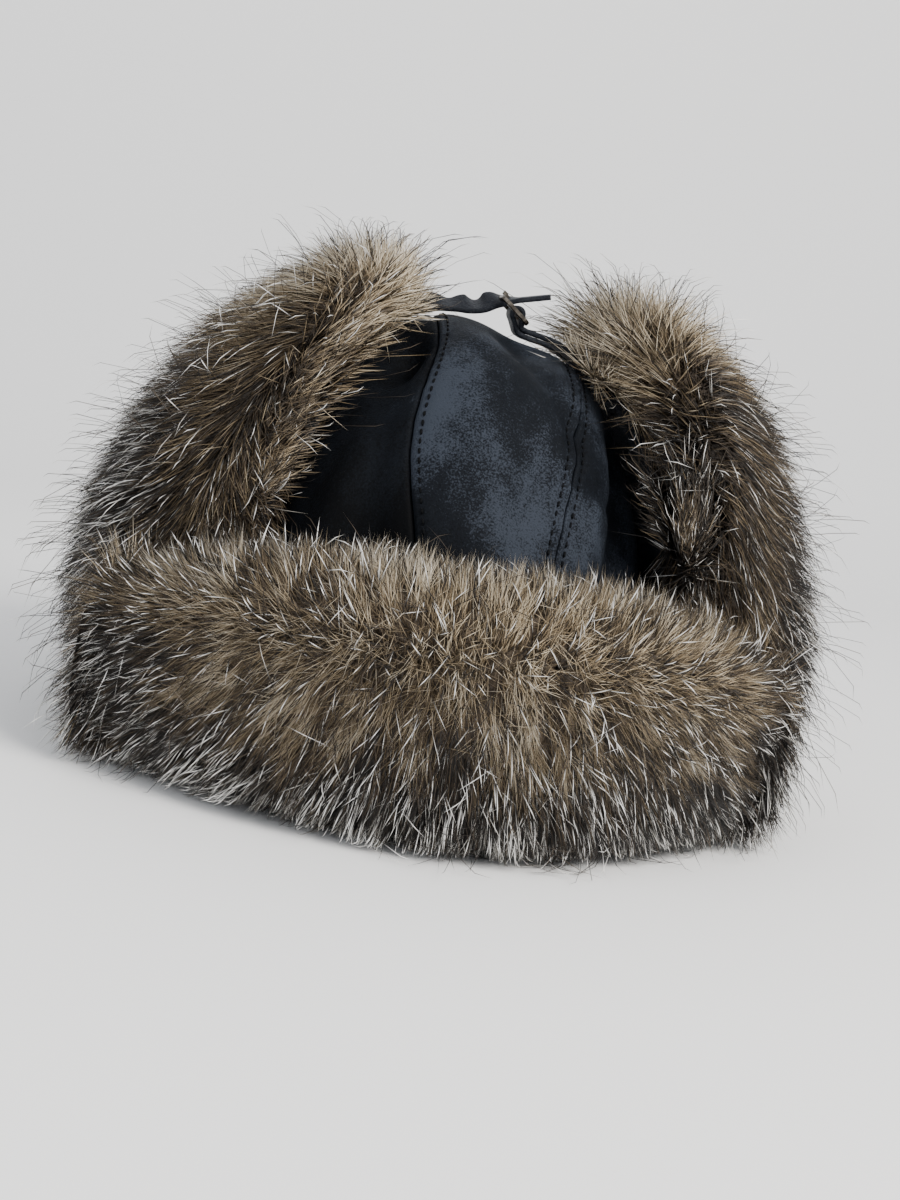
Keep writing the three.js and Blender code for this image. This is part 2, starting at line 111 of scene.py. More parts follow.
# %% Meshes
def make_mesh(name, points, faces, uv=None):
    """A mesh from whole arrays: points in millimetres, faces as rows of three or four, uv for each corner."""
    mesh = bpy.data.meshes.new(name)
    faces = np.asarray(faces, np.int32)
    count, sides = faces.shape
    mesh.vertices.add(len(points))
    mesh.vertices.foreach_set("co", metres(points).astype(np.float32).ravel())
    mesh.loops.add(count * sides)
    mesh.loops.foreach_set("vertex_index", faces.ravel())
    mesh.polygons.add(count)
    mesh.polygons.foreach_set("loop_start", np.arange(count, dtype=np.int32) * sides)
    mesh.polygons.foreach_set("loop_total", np.full(count, sides, np.int32))
    mesh.polygons.foreach_set("use_smooth", np.ones(count, bool))
    if uv is not None:
        layer = mesh.uv_layers.new(name="OFBake")
        layer.data.foreach_set("uv", np.asarray(uv, np.float32).ravel())
    mesh.update()
    mesh.validate()
    piece = bpy.data.objects.new(name, mesh)
    bpy.context.scene.collection.objects.link(piece)
    return piece


# %% [markdown]
# ## Grids and walls
# A grid's faces follow from its size alone, so they are worked out as arrays. Four strips close a wall along
# its edges, and the sign of its volume tells whether all its faces look outwards.

# %% Grids and walls
def grid_faces(rows, columns, start=0, flip=False):
    """Quads between neighbours in a grid of points that is stored row by row."""
    i, j = np.meshgrid(np.arange(rows - 1), np.arange(columns - 1), indexing="ij")
    a = (start + i * columns + j).ravel()
    quads = np.stack([a, a + 1, a + columns + 1, a + columns], -1)
    return quads[:, ::-1] if flip else quads


def facing_out(points, quads):
    """The quads of a closed body, turned round if the volume that they close in comes out negative."""
    a, b, c, d = (points[quads[:, n]] for n in range(4))
    volume = (a * (np.cross(b, c) + np.cross(c, d))).sum()
    return quads if volume > 0 else quads[:, ::-1]


def make_wall(name, outer, inner):
    """A closed wall: an outer and an inner grid of points, joined along their four edges."""
    rows, columns = outer.shape[:2]
    count = rows * columns
    ids = np.arange(count).reshape(rows, columns)
    faces = [grid_faces(rows, columns), grid_faces(rows, columns, count, flip=True)]
    for edge in (ids[0, ::-1], ids[-1], ids[:, 0], ids[::-1, -1]):
        a, b = edge[:-1], edge[1:]
        faces.append(np.stack([a, b, b + count, a + count], -1))
    points = np.concatenate([outer.reshape(-1, 3), inner.reshape(-1, 3)])
    return make_mesh(name, points, facing_out(points, np.concatenate(faces)))


def set_values(wall, name, values):
    """Keeps a value at each point of a wall, the same on its outer and its inner grid, for its material."""
    both = np.tile(values.ravel(), 2).astype(np.float32)
    wall.data.attributes.new(name, "FLOAT", "POINT").data.foreach_set("value", both)


def finish_piece(piece, material, slot, *nodes):
    """Gives a piece its material, fixes it to the hat, and puts it in the nodes' place; the slot is not used.
    """
    piece.data.materials.append(material)
    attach(piece, "root")
    if nodes:
        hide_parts(*nodes)
    triangles = sum(len(p.vertices) - 2 for p in piece.data.polygons)
    print(piece.name, "triangles:", triangles)


# %% [markdown]
# ## Materials
# A material here is a few nodes: noise that is fixed to the piece, a ramp that turns it into colour, and a
# little relief. These helpers add one of each, so that every finish below stays short.

# %% Material helpers
def new_material(name):
    """An empty material with its shader and its node and link lists."""
    material = bpy.data.materials.new(name)
    material.use_nodes = True
    nodes, links = material.node_tree.nodes, material.node_tree.links
    return material, nodes, links, nodes["Principled BSDF"]


def add_noise(nodes, links, scale, detail=4.0, rough=0.55, stretch=(1, 1, 1)):
    """Noise in object coordinates, with scale as waves for each metre."""
    place = nodes.new("ShaderNodeTexCoord")
    mapping = nodes.new("ShaderNodeMapping")
    mapping.inputs["Scale"].default_value = stretch
    noise = nodes.new("ShaderNodeTexNoise")
    noise.inputs["Scale"].default_value = scale
    noise.inputs["Detail"].default_value = detail
    noise.inputs["Roughness"].default_value = rough
    links.new(place.outputs["Object"], mapping.inputs["Vector"])
    links.new(mapping.outputs["Vector"], noise.inputs["Vector"])
    return noise.outputs["Fac"]


def add_ramp(nodes, links, value, stops):
    """Colours along a value: stops are (place, (r, g, b)) in linear light."""
    ramp = nodes.new("ShaderNodeValToRGB")
    points = ramp.color_ramp.elements
    while len(points) < len(stops):
        points.new(0.5)
    for point, (place, colour) in zip(points, stops):
        point.position = place
        point.color = (*colour, 1)
    links.new(value, ramp.inputs["Fac"])
    return ramp.outputs["Color"]


def add_bump(nodes, links, value, shader, strength, distance):
    """Small relief from a value, with its depth in metres."""
    bump = nodes.new("ShaderNodeBump")
    bump.inputs["Strength"].default_value = strength
    bump.inputs["Distance"].default_value = distance
    links.new(value, bump.inputs["Height"])
    links.new(bump.outputs["Normal"], shader.inputs["Normal"])


# %% [markdown]
# ## Leather
# Worn nappa leather isn't one colour: its nap is a paler blue-grey where it is raised, and nearly black where
# it is pressed. A photograph could be wrapped on, but two sizes of noise in the piece's own coordinates give it
# without an image. A value at each point, called nap, says where the leather is worn, and on the crown it also
# holds painted highlight where the light falls and painted shade where it lies in shade.

# %% Leather
def make_leather(name, dark, mid, pale, rough, sheen):
    """Leather: mottled colour from coarse noise, a fine grain as relief, and a soft sheen from its nap."""
    material, nodes, links, shader = new_material(name)
    patches = add_noise(nodes, links, 30, 5, 0.6, (1, 1, 0.55))
    grain = add_noise(nodes, links, 1400, 3, 0.65)
    both = nodes.new("ShaderNodeMath")
    both.operation = "MULTIPLY_ADD"
    both.inputs[1].default_value = 0.7
    links.new(grain, both.inputs[0])
    links.new(patches, both.inputs[2])
    # The nap value: worn nap, with painted highlight and painted shade on the crown.
    nap_and_painted_light = nodes.new("ShaderNodeAttribute")
    nap_and_painted_light.attribute_name = "nap"
    nap_and_light_here = nodes.new("ShaderNodeMath")
    nap_and_light_here.operation = "ADD"
    links.new(both.outputs[0], nap_and_light_here.inputs[0])
    links.new(nap_and_painted_light.outputs["Fac"], nap_and_light_here.inputs[1])
    stops = [(0.58, dark), (0.78, mid), (0.86, mid), (1.0, pale)]
    links.new(add_ramp(nodes, links, nap_and_light_here.outputs[0], stops), shader.inputs["Base Color"])
    add_bump(nodes, links, both.outputs[0], shader, 0.6, 0.0009)
    shader.inputs["Roughness"].default_value = rough
    shader.inputs["Specular IOR Level"].default_value = 0.06
    shader.inputs["Sheen Weight"].default_value = sheen
    shader.inputs["Sheen Roughness"].default_value = 0.45
    shader.inputs["Sheen Tint"].default_value = (0.62, 0.72, 0.9, 1)
    return material


crown_leather = make_leather(
    "crown leather", (0.0006, 0.0007, 0.001), (0.0042, 0.0053, 0.0074), (0.027, 0.0325, 0.043), 0.62, 0.02
)
flap_leather = make_leather(
    "flap leather", (0.003, 0.0033, 0.004), (0.006, 0.007, 0.009), (0.012, 0.014, 0.018), 0.62, 0.08
)
strap_leather = make_leather(
    "strap leather", (0.004, 0.0045, 0.006), (0.008, 0.009, 0.012), (0.022, 0.025, 0.03), 0.45, 0.05
)
thread = make_leather(
    "thread", (0.001, 0.001, 0.0012), (0.002, 0.0022, 0.0026), (0.005, 0.0055, 0.007), 0.6, 0.02
)
print("leathers:", [leather.name for leather in (crown_leather, flap_leather, strap_leather, thread)])

# %% [markdown]
# ## Aged metal
# The buckle is dark plated metal, rubbed bright in places. One fine noise gives both the colour and the
# dents.

# %% Metal
buckle_metal, nodes, links, shader = new_material("aged metal")
worn = add_noise(nodes, links, 420, 5, 0.65)
stops = [(0.35, (0.03, 0.026, 0.022)), (0.55, (0.11, 0.095, 0.078)), (0.75, (0.3, 0.27, 0.22))]
links.new(add_ramp(nodes, links, worn, stops), shader.inputs["Base Color"])
shader.inputs["Metallic"].default_value = 0.95
shader.inputs["Roughness"].default_value = 0.34
add_bump(nodes, links, worn, shader, 0.25, 0.0001)
print(buckle_metal.name, "nodes:", len(nodes))

# %% [markdown]
# ## Crown
# The crown is three panels of soft leather: a centre strip from front to back, and a panel at each side. They
# were cut flat and sewn, so the top stands up and sags in folds. A panel here is a grid of two numbers: how
# far across from side to side, and the angle from the front rim (0) over the top to the back rim (180).

# %% The crown's form
seams = {
    "height": [-0.1, 0.45, 0.75, 1.0, 1.3],
    "left": [-0.19, -0.22, -0.31, -0.2, -0.1],
    "right": [0.27, 0.32, 0.4, 0.46, 0.5],
}

# The ends of each fold are shares of the half width, half depth and height. Its width and depth are shares of
# the half width, and a negative depth stands up.
folds = [
    # from                     to                    width  depth
    ((-0.38, -0.88, 0.34), (-0.36, -0.30, 0.92), 0.130, 0.140),  # deep hollow beside the left seam
    ((0.60, -0.78, 0.34), (0.70, -0.27, 0.76), 0.120, 0.090),  # right side panel
    ((0.19, -0.20, 0.98), (0.19, 0.24, 0.98), 0.200, 0.060),  # right of the top
    ((0.16, -0.24, 0.95), (0.20, -0.78, 0.64), 0.130, 0.040),  # down the centre panel
    ((-0.31, -0.88, 0.36), (-0.37, -0.30, 0.90), 0.060, 0.050),  # its sharp bottom
    ((-0.05, -0.42, 0.93), (0.10, -0.62, 0.78), 0.060, 0.022),
    ((0.10, -0.62, 0.78), (0.27, -0.72, 0.70), 0.045, 0.018),
    ((0.02, -0.30, 0.95), (0.20, -0.55, 0.84), 0.045, -0.014),
    ((0.16, -0.34, 0.95), (0.40, -0.54, 0.80), 0.055, 0.034),
    ((-0.16, -0.80, 0.60), (0.02, -0.86, 0.50), 0.050, 0.012),
    ((-0.20, -0.66, 0.74), (-0.04, -0.74, 0.68), 0.045, 0.012),
    ((0.05, -0.92, 0.42), (0.24, -0.88, 0.48), 0.055, 0.012),
    ((0.45, -0.80, 0.48), (0.52, -0.62, 0.66), 0.045, -0.016),
    ((0.47, -0.60, 0.70), (0.66, -0.50, 0.66), 0.045, 0.018),
    ((-0.62, -0.70, 0.50), (-0.50, -0.58, 0.72), 0.080, -0.030),
    ((-0.30, 0.40, 0.86), (0.05, 0.55, 0.80), 0.060, 0.016),
    ((0.10, 0.66, 0.68), (0.30, 0.60, 0.72), 0.060, 0.018),
    ((-0.45, 0.50, 0.72), (-0.40, 0.70, 0.52), 0.070, 0.022),
]


# %% [markdown]
# ## Seams
# The two seams wander over the crown, because the panels were cut to different shapes. A few knots and a
# smooth line through them follow the real seams closely enough, and can be moved one at a time.

# %% Seam lines
def spline_through(knots, count):
    """A smooth line through knots: on each stretch a cubic whose slopes follow the neighbouring knots."""
    knots = np.asarray(knots, float)
    ends = np.concatenate([knots[:1], knots, knots[-1:]])
    places = np.linspace(0, len(knots) - 1, count)
    k = np.minimum(places.astype(int), len(knots) - 2)
    t = (places - k)[:, None]
    a, b, c, d = (ends[k + n] for n in range(4))
    slope_b, slope_c = (c - a) / 2, (d - b) / 2
    return (2 * t**3 - 3 * t**2 + 1) * b + (t**3 - 2 * t**2 + t) * slope_b \
        + (-2 * t**3 + 3 * t**2) * c + (t**3 - t**2) * slope_c


seam_lines = {
    side: spline_through(np.stack([seams[side], seams["height"]], -1), 200) * [half_width, height]
    for side in ("left", "right")
}


def seam_x(side, z):
    """The x of a seam at a height."""
    line = seam_lines[side]
    return np.interp(z, line[:, 1], line[:, 0])


# %% [markdown]
# ## Pressing in the folds
# Soft leather sags between its seams. The folds could be sculpted by hand, but a table of soft grooves is
# easier to change, and the same function also presses in the seams, with small puckers along the thread.

# %% The surface of the crown
def crown_point(x, angle):
    """The smooth crown at x and an angle over the top: s^2.3 + (z / height)^2.3 = 1, where s is the distance
    from the middle as a share of the rim's."""
    wide = np.clip(x / half_width, -1, 1)
    y = -half_depth * np.sqrt(1 - wide**2) * np.cos(angle)
    s = np.sqrt(wide**2 + (y / half_depth) ** 2)
    z = height * np.maximum(0, 1 - s**roundness) ** (1 / roundness)
    return np.stack([x, y, np.where(np.sin(angle) < 1e-6, 0, z)], -1)


def fold_depth(points):
    """How deep the folds press in: each adds depth * exp(-(distance / width)^2)."""
    size = np.array([half_width, half_depth, height])
    depth = np.zeros(points.shape[:-1])
    for start, end, width, deep in folds:
        start, end = np.array(start) * size, np.array(end) * size
        along = end - start
        share = np.clip(((points - start) @ along) / (along @ along), 0, 1)
        away = np.linalg.norm(points - start - share[..., None] * along, axis=-1) / (width * half_width)
        depth += deep * half_width * np.exp(-away**2)
    return depth


def pressed(points, inset):
    """The crown with its folds pressed in, and a groove with small puckers along both seams."""
    size = np.array([half_width, half_depth, height])
    inward = -points / size**2
    inward[..., 2] = np.where(points[..., 2] < 1e-6, 0, inward[..., 2])
    depth = fold_depth(points) + inset
    pucker = np.sin(points[..., 2] * 0.9 + points[..., 1] * 0.8)
    # For each seam: how deep it sits (above 0) or stands (below 0), and the channel where the thread runs.
    for side, groove, channel in (("left", 1.2, 0.35), ("right", -0.5, 0.8)):
        away = np.abs(points[..., 0] - seam_x(side, points[..., 2]))
        depth += groove * np.exp(-((away / 1.7) ** 2)) + 0.35 * pucker * np.exp(-((away / 6) ** 2))
        depth += channel * np.exp(-(((away - 3.3) / 1.1) ** 2)) + 0.9 * np.exp(-((away / 0.5) ** 2))
    return points + unit(inward) * depth[..., None]


# %% [markdown]
# ## Where the panels end
# The panels were cut so that their edges meet at the seams. An edge's x depends on the height there, and the
# height depends on x in turn, so the right place is found in a few rounds.

# %% Edges of the panels
def across_panel(share, angle, left_edge, right_edge):
    """The x at a share of the way between a panel's two edges, which depend on the height there."""
    x = np.zeros_like(share)
    for _ in range(8):
        z = crown_point(x, angle)[..., 2]
        x = mix(left_edge(z), right_edge(z), share)
    return x


seam_gap = 0.45
edges = {
    "crown_left": (lambda z: -half_width + 0 * z, lambda z: seam_x("left", z) - seam_gap / 2),
    "crown_centre": (lambda z: seam_x("left", z) + seam_gap / 2, lambda z: seam_x("right", z) - seam_gap / 2),
    "crown_right": (lambda z: seam_x("right", z) + seam_gap / 2, lambda z: half_width + 0 * z),
}
x, angle = np.meshgrid(np.linspace(-0.95, 0.95, 60) * half_width, np.linspace(0, np.pi, 60))
print("deepest fold, in mm:", round(float(fold_depth(crown_point(x, angle)).max()), 1))

# %% [markdown]
# ## Worn nap, painted highlight and painted shade
# The leather is paler beside the left seam and down the middle: nap that hands have raised, with a painted
# highlight where the light falls on it. The left panel lies in shade and is painted nearly black. A table of
# soft patches puts the paler and darker colour in place; the noise breaks up their edges.

# %% Nap, painted highlight and painted shade
# Painted shade: the left panel lies in shade and is nearly black all over. The centre panel is a little paler.
panel_shade = {"crown_left": -0.26, "crown_centre": 0.03, "crown_right": 0.0}

# Patches where the colour is paler (above 0) or darker: places as shares, then the width and the amount. The
# pale ones beside the left seam and down the middle are raised nap with a painted highlight.
nap_and_light_patches = [
    # x      y      z      width  amount
    (-0.20, -0.45, 0.90, 0.22, 0.10),
    (-0.17, -0.66, 0.79, 0.22, 0.13),
    (-0.06, -0.78, 0.69, 0.22, 0.12),
    (0.15, -0.83, 0.61, 0.18, 0.04),
    (0.28, -0.64, 0.76, 0.18, -0.06),
    (-0.20, -0.85, 0.56, 0.15, -0.26),
    (0.00, -0.91, 0.48, 0.12, -0.14),
    (0.34, -0.86, 0.46, 0.10, 0.06),
]


def nap_and_light_at(points):
    """The sum of the patches: amount * exp(-(distance / width)^2), with all lengths as shares."""
    shares = points / np.array([half_width, half_depth, height])
    total = np.zeros(points.shape[:-1])
    for x, y, z, width, amount in nap_and_light_patches:
        away = np.linalg.norm(shares - np.array([x, y, z]), axis=-1) / width
        total += amount * np.exp(-away**2)
    return total


# %% [markdown]
# ## The three panels
# Each panel is its own piece with a small gap to the next, as the sewn pieces are. One grid function makes
# all three. Its points lie closer together at the seams, where the form changes fastest.

# %% Crown panels
panel_wall = 2.0
for node, (left_edge, right_edge) in edges.items():
    angle, across = np.meshgrid(np.linspace(0, np.pi, 107), np.linspace(0, 1, 37), indexing="ij")
    across = (1 - np.cos(across * np.pi)) / 2  # closer together at the seams
    x = across_panel(across, angle, left_edge, right_edge)
    base = crown_point(x, angle)
    panel = make_wall("panel_" + node, pressed(base, 0.0), pressed(base, panel_wall))
    # The nap value holds the worn nap, the painted highlight and the left panel's painted shade.
    set_values(panel, "nap", nap_and_light_at(base) + panel_shade[node])
    finish_piece(panel, crown_leather, "crown_leather", node)

# %% [markdown]
# ## Topstitching
# A row of topstitches runs along the left seam, and two rows along the right one. Each stitch is a short
# thread that dives into the leather at both ends, so a small closed spindle on the surface is enough. A
# picture of stitches would cost less, but it wouldn't catch the light.

# %% Stitches
def along_seam(side, offset, count=900):
    """Points at an offset from a seam, from the front rim over the top to the back, on the pressed crown."""
    angle = np.linspace(0.02, np.pi - 0.02, count)
    x = across_panel(np.ones(count), angle, lambda z: z * 0, lambda z: seam_x(side, z) + offset)
    return pressed(crown_point(x, angle), 0.0)


def make_spindles(starts, ends, out, width):
    """Short closed threads: a point at each end and two rings of five between them."""
    along = unit(ends - starts)
    up = unit(out - (out * along).sum(-1, keepdims=True) * along)
    side = np.cross(along, up)
    turn = np.arange(5) * 2 * np.pi / 5
    ring = np.cos(turn)[:, None] * side[:, None, :] + np.sin(turn)[:, None] * up[:, None, :]
    middle = [mix(starts, ends, s)[:, None, :] + ring * width / 2 + up[:, None, :] * width * 0.3
              for s in (0.25, 0.75)]
    points = np.concatenate([starts[:, None, :], middle[0], middle[1], ends[:, None, :]], 1)
    k = np.arange(5)
    n = (k + 1) % 5
    faces = np.concatenate([
        np.stack([0 * k, 1 + n, 1 + k], -1), np.stack([1 + k, 1 + n, 6 + n], -1),
        np.stack([1 + k, 6 + n, 6 + k], -1), np.stack([6 + k, 6 + n, 11 + 0 * k], -1),
    ])
    shift = (np.arange(len(points)) * 12)[:, None, None]
    return points.reshape(-1, 3), (faces[None] + shift).reshape(-1, 3)


stitch_pitch, stitch_length, thread_width = 3.9, 2.9, 1.0
stitch_starts, stitch_ends = [], []
for side, offset in (("left", 3.6), ("right", -3.2), ("right", 3.2)):
    line = along_seam(side, offset)
    way = way_along(line)
    starts = np.arange(2, way[-1] - 5, stitch_pitch)
    stitch_starts.append(np.stack([np.interp(starts, way, line[:, n]) for n in range(3)], -1))
    stitch_ends.append(np.stack([np.interp(starts + stitch_length, way, line[:, n]) for n in range(3)], -1))
starts, ends = np.concatenate(stitch_starts), np.concatenate(stitch_ends)
out = unit((starts + ends) / 2 / np.array([half_width, half_depth, height]) ** 2)
stitches = make_mesh("topstitches", *make_spindles(starts, ends, out, thread_width))
finish_piece(stitches, thread, "crown_leather")
print("stitches:", len(starts))

# %% [markdown]
# ## Turned-up leather
# The visor and the ear and neck flap are sheets of leather, sewn to the rim and turned up against the crown.
# So each is the crown's own form moved outwards, with its height and its lean as functions of the place round
# the head. The fur below is built on the same two functions, and can't drift away from its leather.

# %% Forms of the visor and the flap
sewn_gap, flap_wall = 0.5, 2.5
visor_height, visor_lean, visor_turn = 72.0, 4.0, 60.0
neck_height, neck_lean, ear_turn = 84.0, 3.0, 92.0
ears = {
    #           front  tip   fan   stand  tip_fur
    "left": (66.0, 0.80, 0.80, 0.04, 0.42),
    "right": (68.0, 0.675, 0.45, 0.14, 0.75),
}


def on_crown(turn, rise, offset):
    """The crown's outside at degrees from the front and a share of the way up, moved out by the offset."""
    power = 2 / roundness
    lift = np.clip(rise, 0, 1) * np.pi / 2
    spread = np.abs(np.cos(lift)) ** power
    around = np.radians(turn)
    return np.stack([
        (half_width + offset) * spread * np.sin(around),
        -(half_depth + offset) * spread * np.cos(around),
        (height + offset) * np.sin(lift) ** power,
    ], -1)


def rise_at(z):
    """The share of the way up at which the crown is that high."""
    return np.arcsin(np.clip(z / height, 0, 1) ** (roundness / 2)) * 2 / np.pi


# %% [markdown]
# ## The visor's form
# The visor is a strip round the forehead, turned up against the crown and lower towards its ends. It is made
# from the crown's own surface, so it can't pass through it.

# %% The visor's form
def on_visor(across, up, offset):
    """The visor: across from -1 at its left end to 1 at its right one, up from 0 at the rim to 1."""
    tall = up * visor_height * mix(1, 0.78, np.abs(across) ** 3)
    lean = visor_lean * np.clip(tall / visor_height, 0, 1)
    return on_crown(across * visor_turn, rise_at(tall), sewn_gap + lean + offset)


# %% [markdown]
# ## The flap's form
# One sheet goes round from ear to ear. At each side it stands up as an ear that fans out and bulges away from
# the crown, and behind it is low and close. The two ears differ in the photo, so each has its own values.

# %% The flap's form
def ear_values(across):
    """The left or right ear's values for each place, and the degrees from the front."""
    picked = [np.where(across < 0, l, r) for l, r in zip(ears["left"], ears["right"])]
    return (*picked, 180 - np.abs(across) * (180 - picked[0]))


def is_ear(turn):
    """1 at an ear and 0 at the neck."""
    return 1 - smooth(turn, 108, 160)


def flap_top(across):
    """How far up the crown the flap's top edge is: an ear at each side and the lower neck behind."""
    front, tip, _, _, _, turn = ear_values(across)
    t = np.clip((turn - front + 10) / 23, 0, 1)
    bump = t * t * (3 - 2 * t) * (1 - smooth(turn, 102, 150))
    return mix(rise_at(neck_height), tip, bump)


def on_flap(across, up, offset):
    """The flap: across from -1 at the left front edge, round the back, to 1 at the right front edge."""
    front, tip, fan, stand, _, turn = ear_values(across)
    rise = up * flap_top(across)
    ear = is_ear(turn)
    fanned = ear_turn + (turn - ear_turn) * (1 + fan * rise * ear)
    bulge = np.sin(np.pi * np.clip(rise / tip, 0, 1)) ** 0.7
    away = mix(neck_lean * up, stand * half_width * bulge, ear)
    sign = np.where(across < 0, -1, 1)
    return on_crown(sign * mix(turn, fanned, ear), rise, sewn_gap + away + offset)


tops = flap_top(np.array([-1.0, -0.8, 0.0, 0.8, 1.0]))
print("flap's top edge, shares of the way up from left to right:", tops.round(2))

# %% [markdown]
# ## The two sheets
# Nearly all of this leather is under the fur, so an even grid without folds does.

# %% Visor and flap
for name, node, sheet, rows, columns in (
    ("visor_sheet", "visor_leather", on_visor, 14, 60),
    ("flap_sheet", "ear_neck_flap", on_flap, 22, 150),
):
    up, across = np.meshgrid(np.linspace(0, 1, rows), np.linspace(-1, 1, columns), indexing="ij")
    sheet_piece = make_wall(name, sheet(across, up, flap_wall), sheet(across, up, 0.0))
    finish_piece(sheet_piece, flap_leather, "flap_leather", node)

# %% [markdown]
# ## Straps and buckle
# A strap is a narrow strip of leather with rounded edges. A curve with a bevel would give it, but a profile
# swept along a path keeps the true width and lets the strap roll over, as the long one does before the
# buckle. The short one is folded double round the buckle's middle bar, so its path goes there and back.

# %% Straps
ring_points = 20


def strap_stations(line, tail):
    """Points 0.7 mm apart along a line, and closer over the tail; how far along each is; and the length."""
    line = np.asarray(line, float)
    way = way_along(line)
    at = np.linspace(0, way[-1], int(way[-1] / 0.7))
    if tail:
        narrowing = way[-1] - tail * (1 - np.sin(np.linspace(0, np.pi / 2, 9)))
        at = np.concatenate([at[at < way[-1] - tail], narrowing])
    path = np.stack([np.interp(at, way, line[:, n]) for n in range(2)], -1)
    path[1:-1] = (path[:-2] + 2 * path[1:-1] + path[2:]) / 4
    return path, at, way[-1]


def tube_faces(rows):
    """Quads round a tube of rings, and across the last ring at both ends."""
    ids = np.arange(rows * ring_points).reshape(rows, ring_points)
    following = np.roll(ids, -1, axis=1)
    faces = [np.stack([ids[:-1], ids[1:], following[1:], following[:-1]], -1).reshape(-1, 4)]
    for ring, flip in ((ids[0], 1), (ids[-1], -1)):
        for k in range(ring_points // 2 - 1):
            cap = [ring[k], ring[k + 1], ring[ring_points - 2 - k], ring[ring_points - 1 - k]]
            faces.append(np.array([cap[::flip]]))
    return np.concatenate(faces)


def sweep_strap(name, line, width, thickness, tail=0.0, roll=0.0):
    """A strap: a flat profile swept along a line in x and z, closed at both ends. Over the tail's length
    the width narrows as a half circle. Between its ends it is rolled by some degrees to the front."""
    path, at, end = strap_stations(line, tail)
    slope = unit(np.gradient(path, axis=0))
    normal = np.stack([-slope[:, 1], slope[:, 0]], -1)
    turn = np.arange(ring_points) * 2 * np.pi / ring_points
    flat = np.sign(np.cos(turn)) * np.abs(np.cos(turn)) ** 0.22
    thick = np.sign(np.sin(turn)) * np.abs(np.sin(turn)) ** 0.5
    left = np.clip((end - at) / tail, 0, 1) if tail else np.ones(len(at))
    half = width / 2 * np.sqrt(np.maximum(1 - (1 - left) ** 2, 0.002))
    rolled = np.radians(roll) * smooth(at, 0, 7) * (1 - smooth(at, end - 22, end - 12))
    rolled = rolled * (1 + 0.25 * np.sin(at * 0.55))
    wide, deep = half[:, None] * flat, thick[None] * thickness / 2
    over = deep * np.cos(rolled)[:, None] + wide * np.sin(rolled)[:, None]
    over = over + (np.sin(rolled) * width / 2)[:, None]
    points = np.zeros((len(at), ring_points, 3))
    points[..., 0] = path[:, None, 0] + normal[:, None, 0] * over
    points[..., 2] = path[:, None, 1] + normal[:, None, 1] * over
    points[..., 1] = wide * np.cos(rolled)[:, None] - deep * np.sin(rolled)[:, None]
    points = points.reshape(-1, 3)
    print(name, "length in mm:", round(float(end), 1))
    return make_mesh(name, points, facing_out(points, tube_faces(len(at))))


# %% [markdown]
# ## The long strap
# It comes from the left ear flap over the crown, goes through the buckle, and its free end lies past it. Its
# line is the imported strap's own, so it passes the buckle's bar without touching it.

# %% Long strap
strap_width, strap_thickness = 11.0, 2.2
bar = np.array([14.08, 183.53])  # x and z of the buckle's middle bar
long_line = spline_through([
    (-31.4, 174.4), (-26.7, 176.8), (-22.1, 178.5), (-16.1, 180.2), (-10.0, 180.9),
    (-5.3, 181.0), (0.5, 182.3), (3.2, 183.4), (5.6, 184.9), (8.4, 186.3),
    (12.0, 188.0), (14.0, 188.9), (17.7, 189.9), (22.8, 191.3), (26.6, 192.3),
], 200)
long_strap = sweep_strap("strap_long", long_line, strap_width, strap_thickness, tail=5.0, roll=27.0)
finish_piece(long_strap, strap_leather, "strap_leather", "long_strap")

# %% [markdown]
# ## The short strap and the buckle
# Its two layers run side by side down to the right flap, with a loop round the bar. The metal pieces of the
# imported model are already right, so they only get their finish.

# %% Short strap and buckle
down_line = spline_through([
    (15.6, 177.6), (18.0, 176.6), (20.1, 176.2), (23.0, 175.7), (26.3, 175.2), (29.5, 174.5), (32.6, 173.5),
    (35.8, 172.1), (38.8, 170.4), (41.3, 168.6), (43.7, 166.6), (47.1, 163.3),
], 120)
slope = unit(np.gradient(down_line, axis=0))
above = np.stack([-slope[:, 1], slope[:, 0]], -1) * (strap_thickness / 2 + 0.05)
loop_turn = np.radians(np.linspace(232, 20, 30))
loop = bar + 2.35 * np.stack([np.cos(loop_turn), np.sin(loop_turn)], -1)
short_path = np.concatenate([(down_line - above)[::-1], loop, (down_line + above)[2:]])
short_strap = sweep_strap("strap_short", short_path, strap_width, strap_thickness - 0.1)
finish_piece(short_strap, strap_leather, "strap_leather", "short_strap")

for node in ("buckle_frame", "buckle_pin"):
    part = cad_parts[node]
    part.data.materials.clear()
    part.data.materials.append(buckle_metal)

# %% [markdown]
# ## Fur: the body under the hairs
# Under the long hairs lies a dense coat of short wool that gives the fur its form. It keeps the form of the
# packed fur: a rounded body on the leather, cut straight where the visor's fur meets the ears'. Without it
# the leather would shine through between the hairs.

# %% Forms of the fur
# How far the fur laps over the leather's edge, its height over the ground, and the degrees from the front of
# the planes where the visor's fur and the ears' press together.
fur_overhang, fur_ground, fur_seam = 11.0, 2.5, 63.0
skin = 3.7  # from the crown's side of the leather to the roots
press_gap = 0.4  # from each fur to the plane where they press together


def rounded(way):
    """Full in the middle of the way from 0 to 1, and rounded off towards both ends."""
    return np.sqrt(np.maximum(0, 1 - np.abs(2 * np.clip(way, 0, 1) - 1) ** 5))


def visor_fur_at(across, way, deep):
    """The visor's fur: deep is 0 at the leather and 1 at the outside of the body."""
    thick = mix(32.0, 52.5, np.minimum(np.abs(across), 1.15) ** 3)
    up = mix(fur_ground / visor_height, 1 + fur_overhang / visor_height, way)
    return on_visor(across, up, skin + deep * thick * rounded(way))


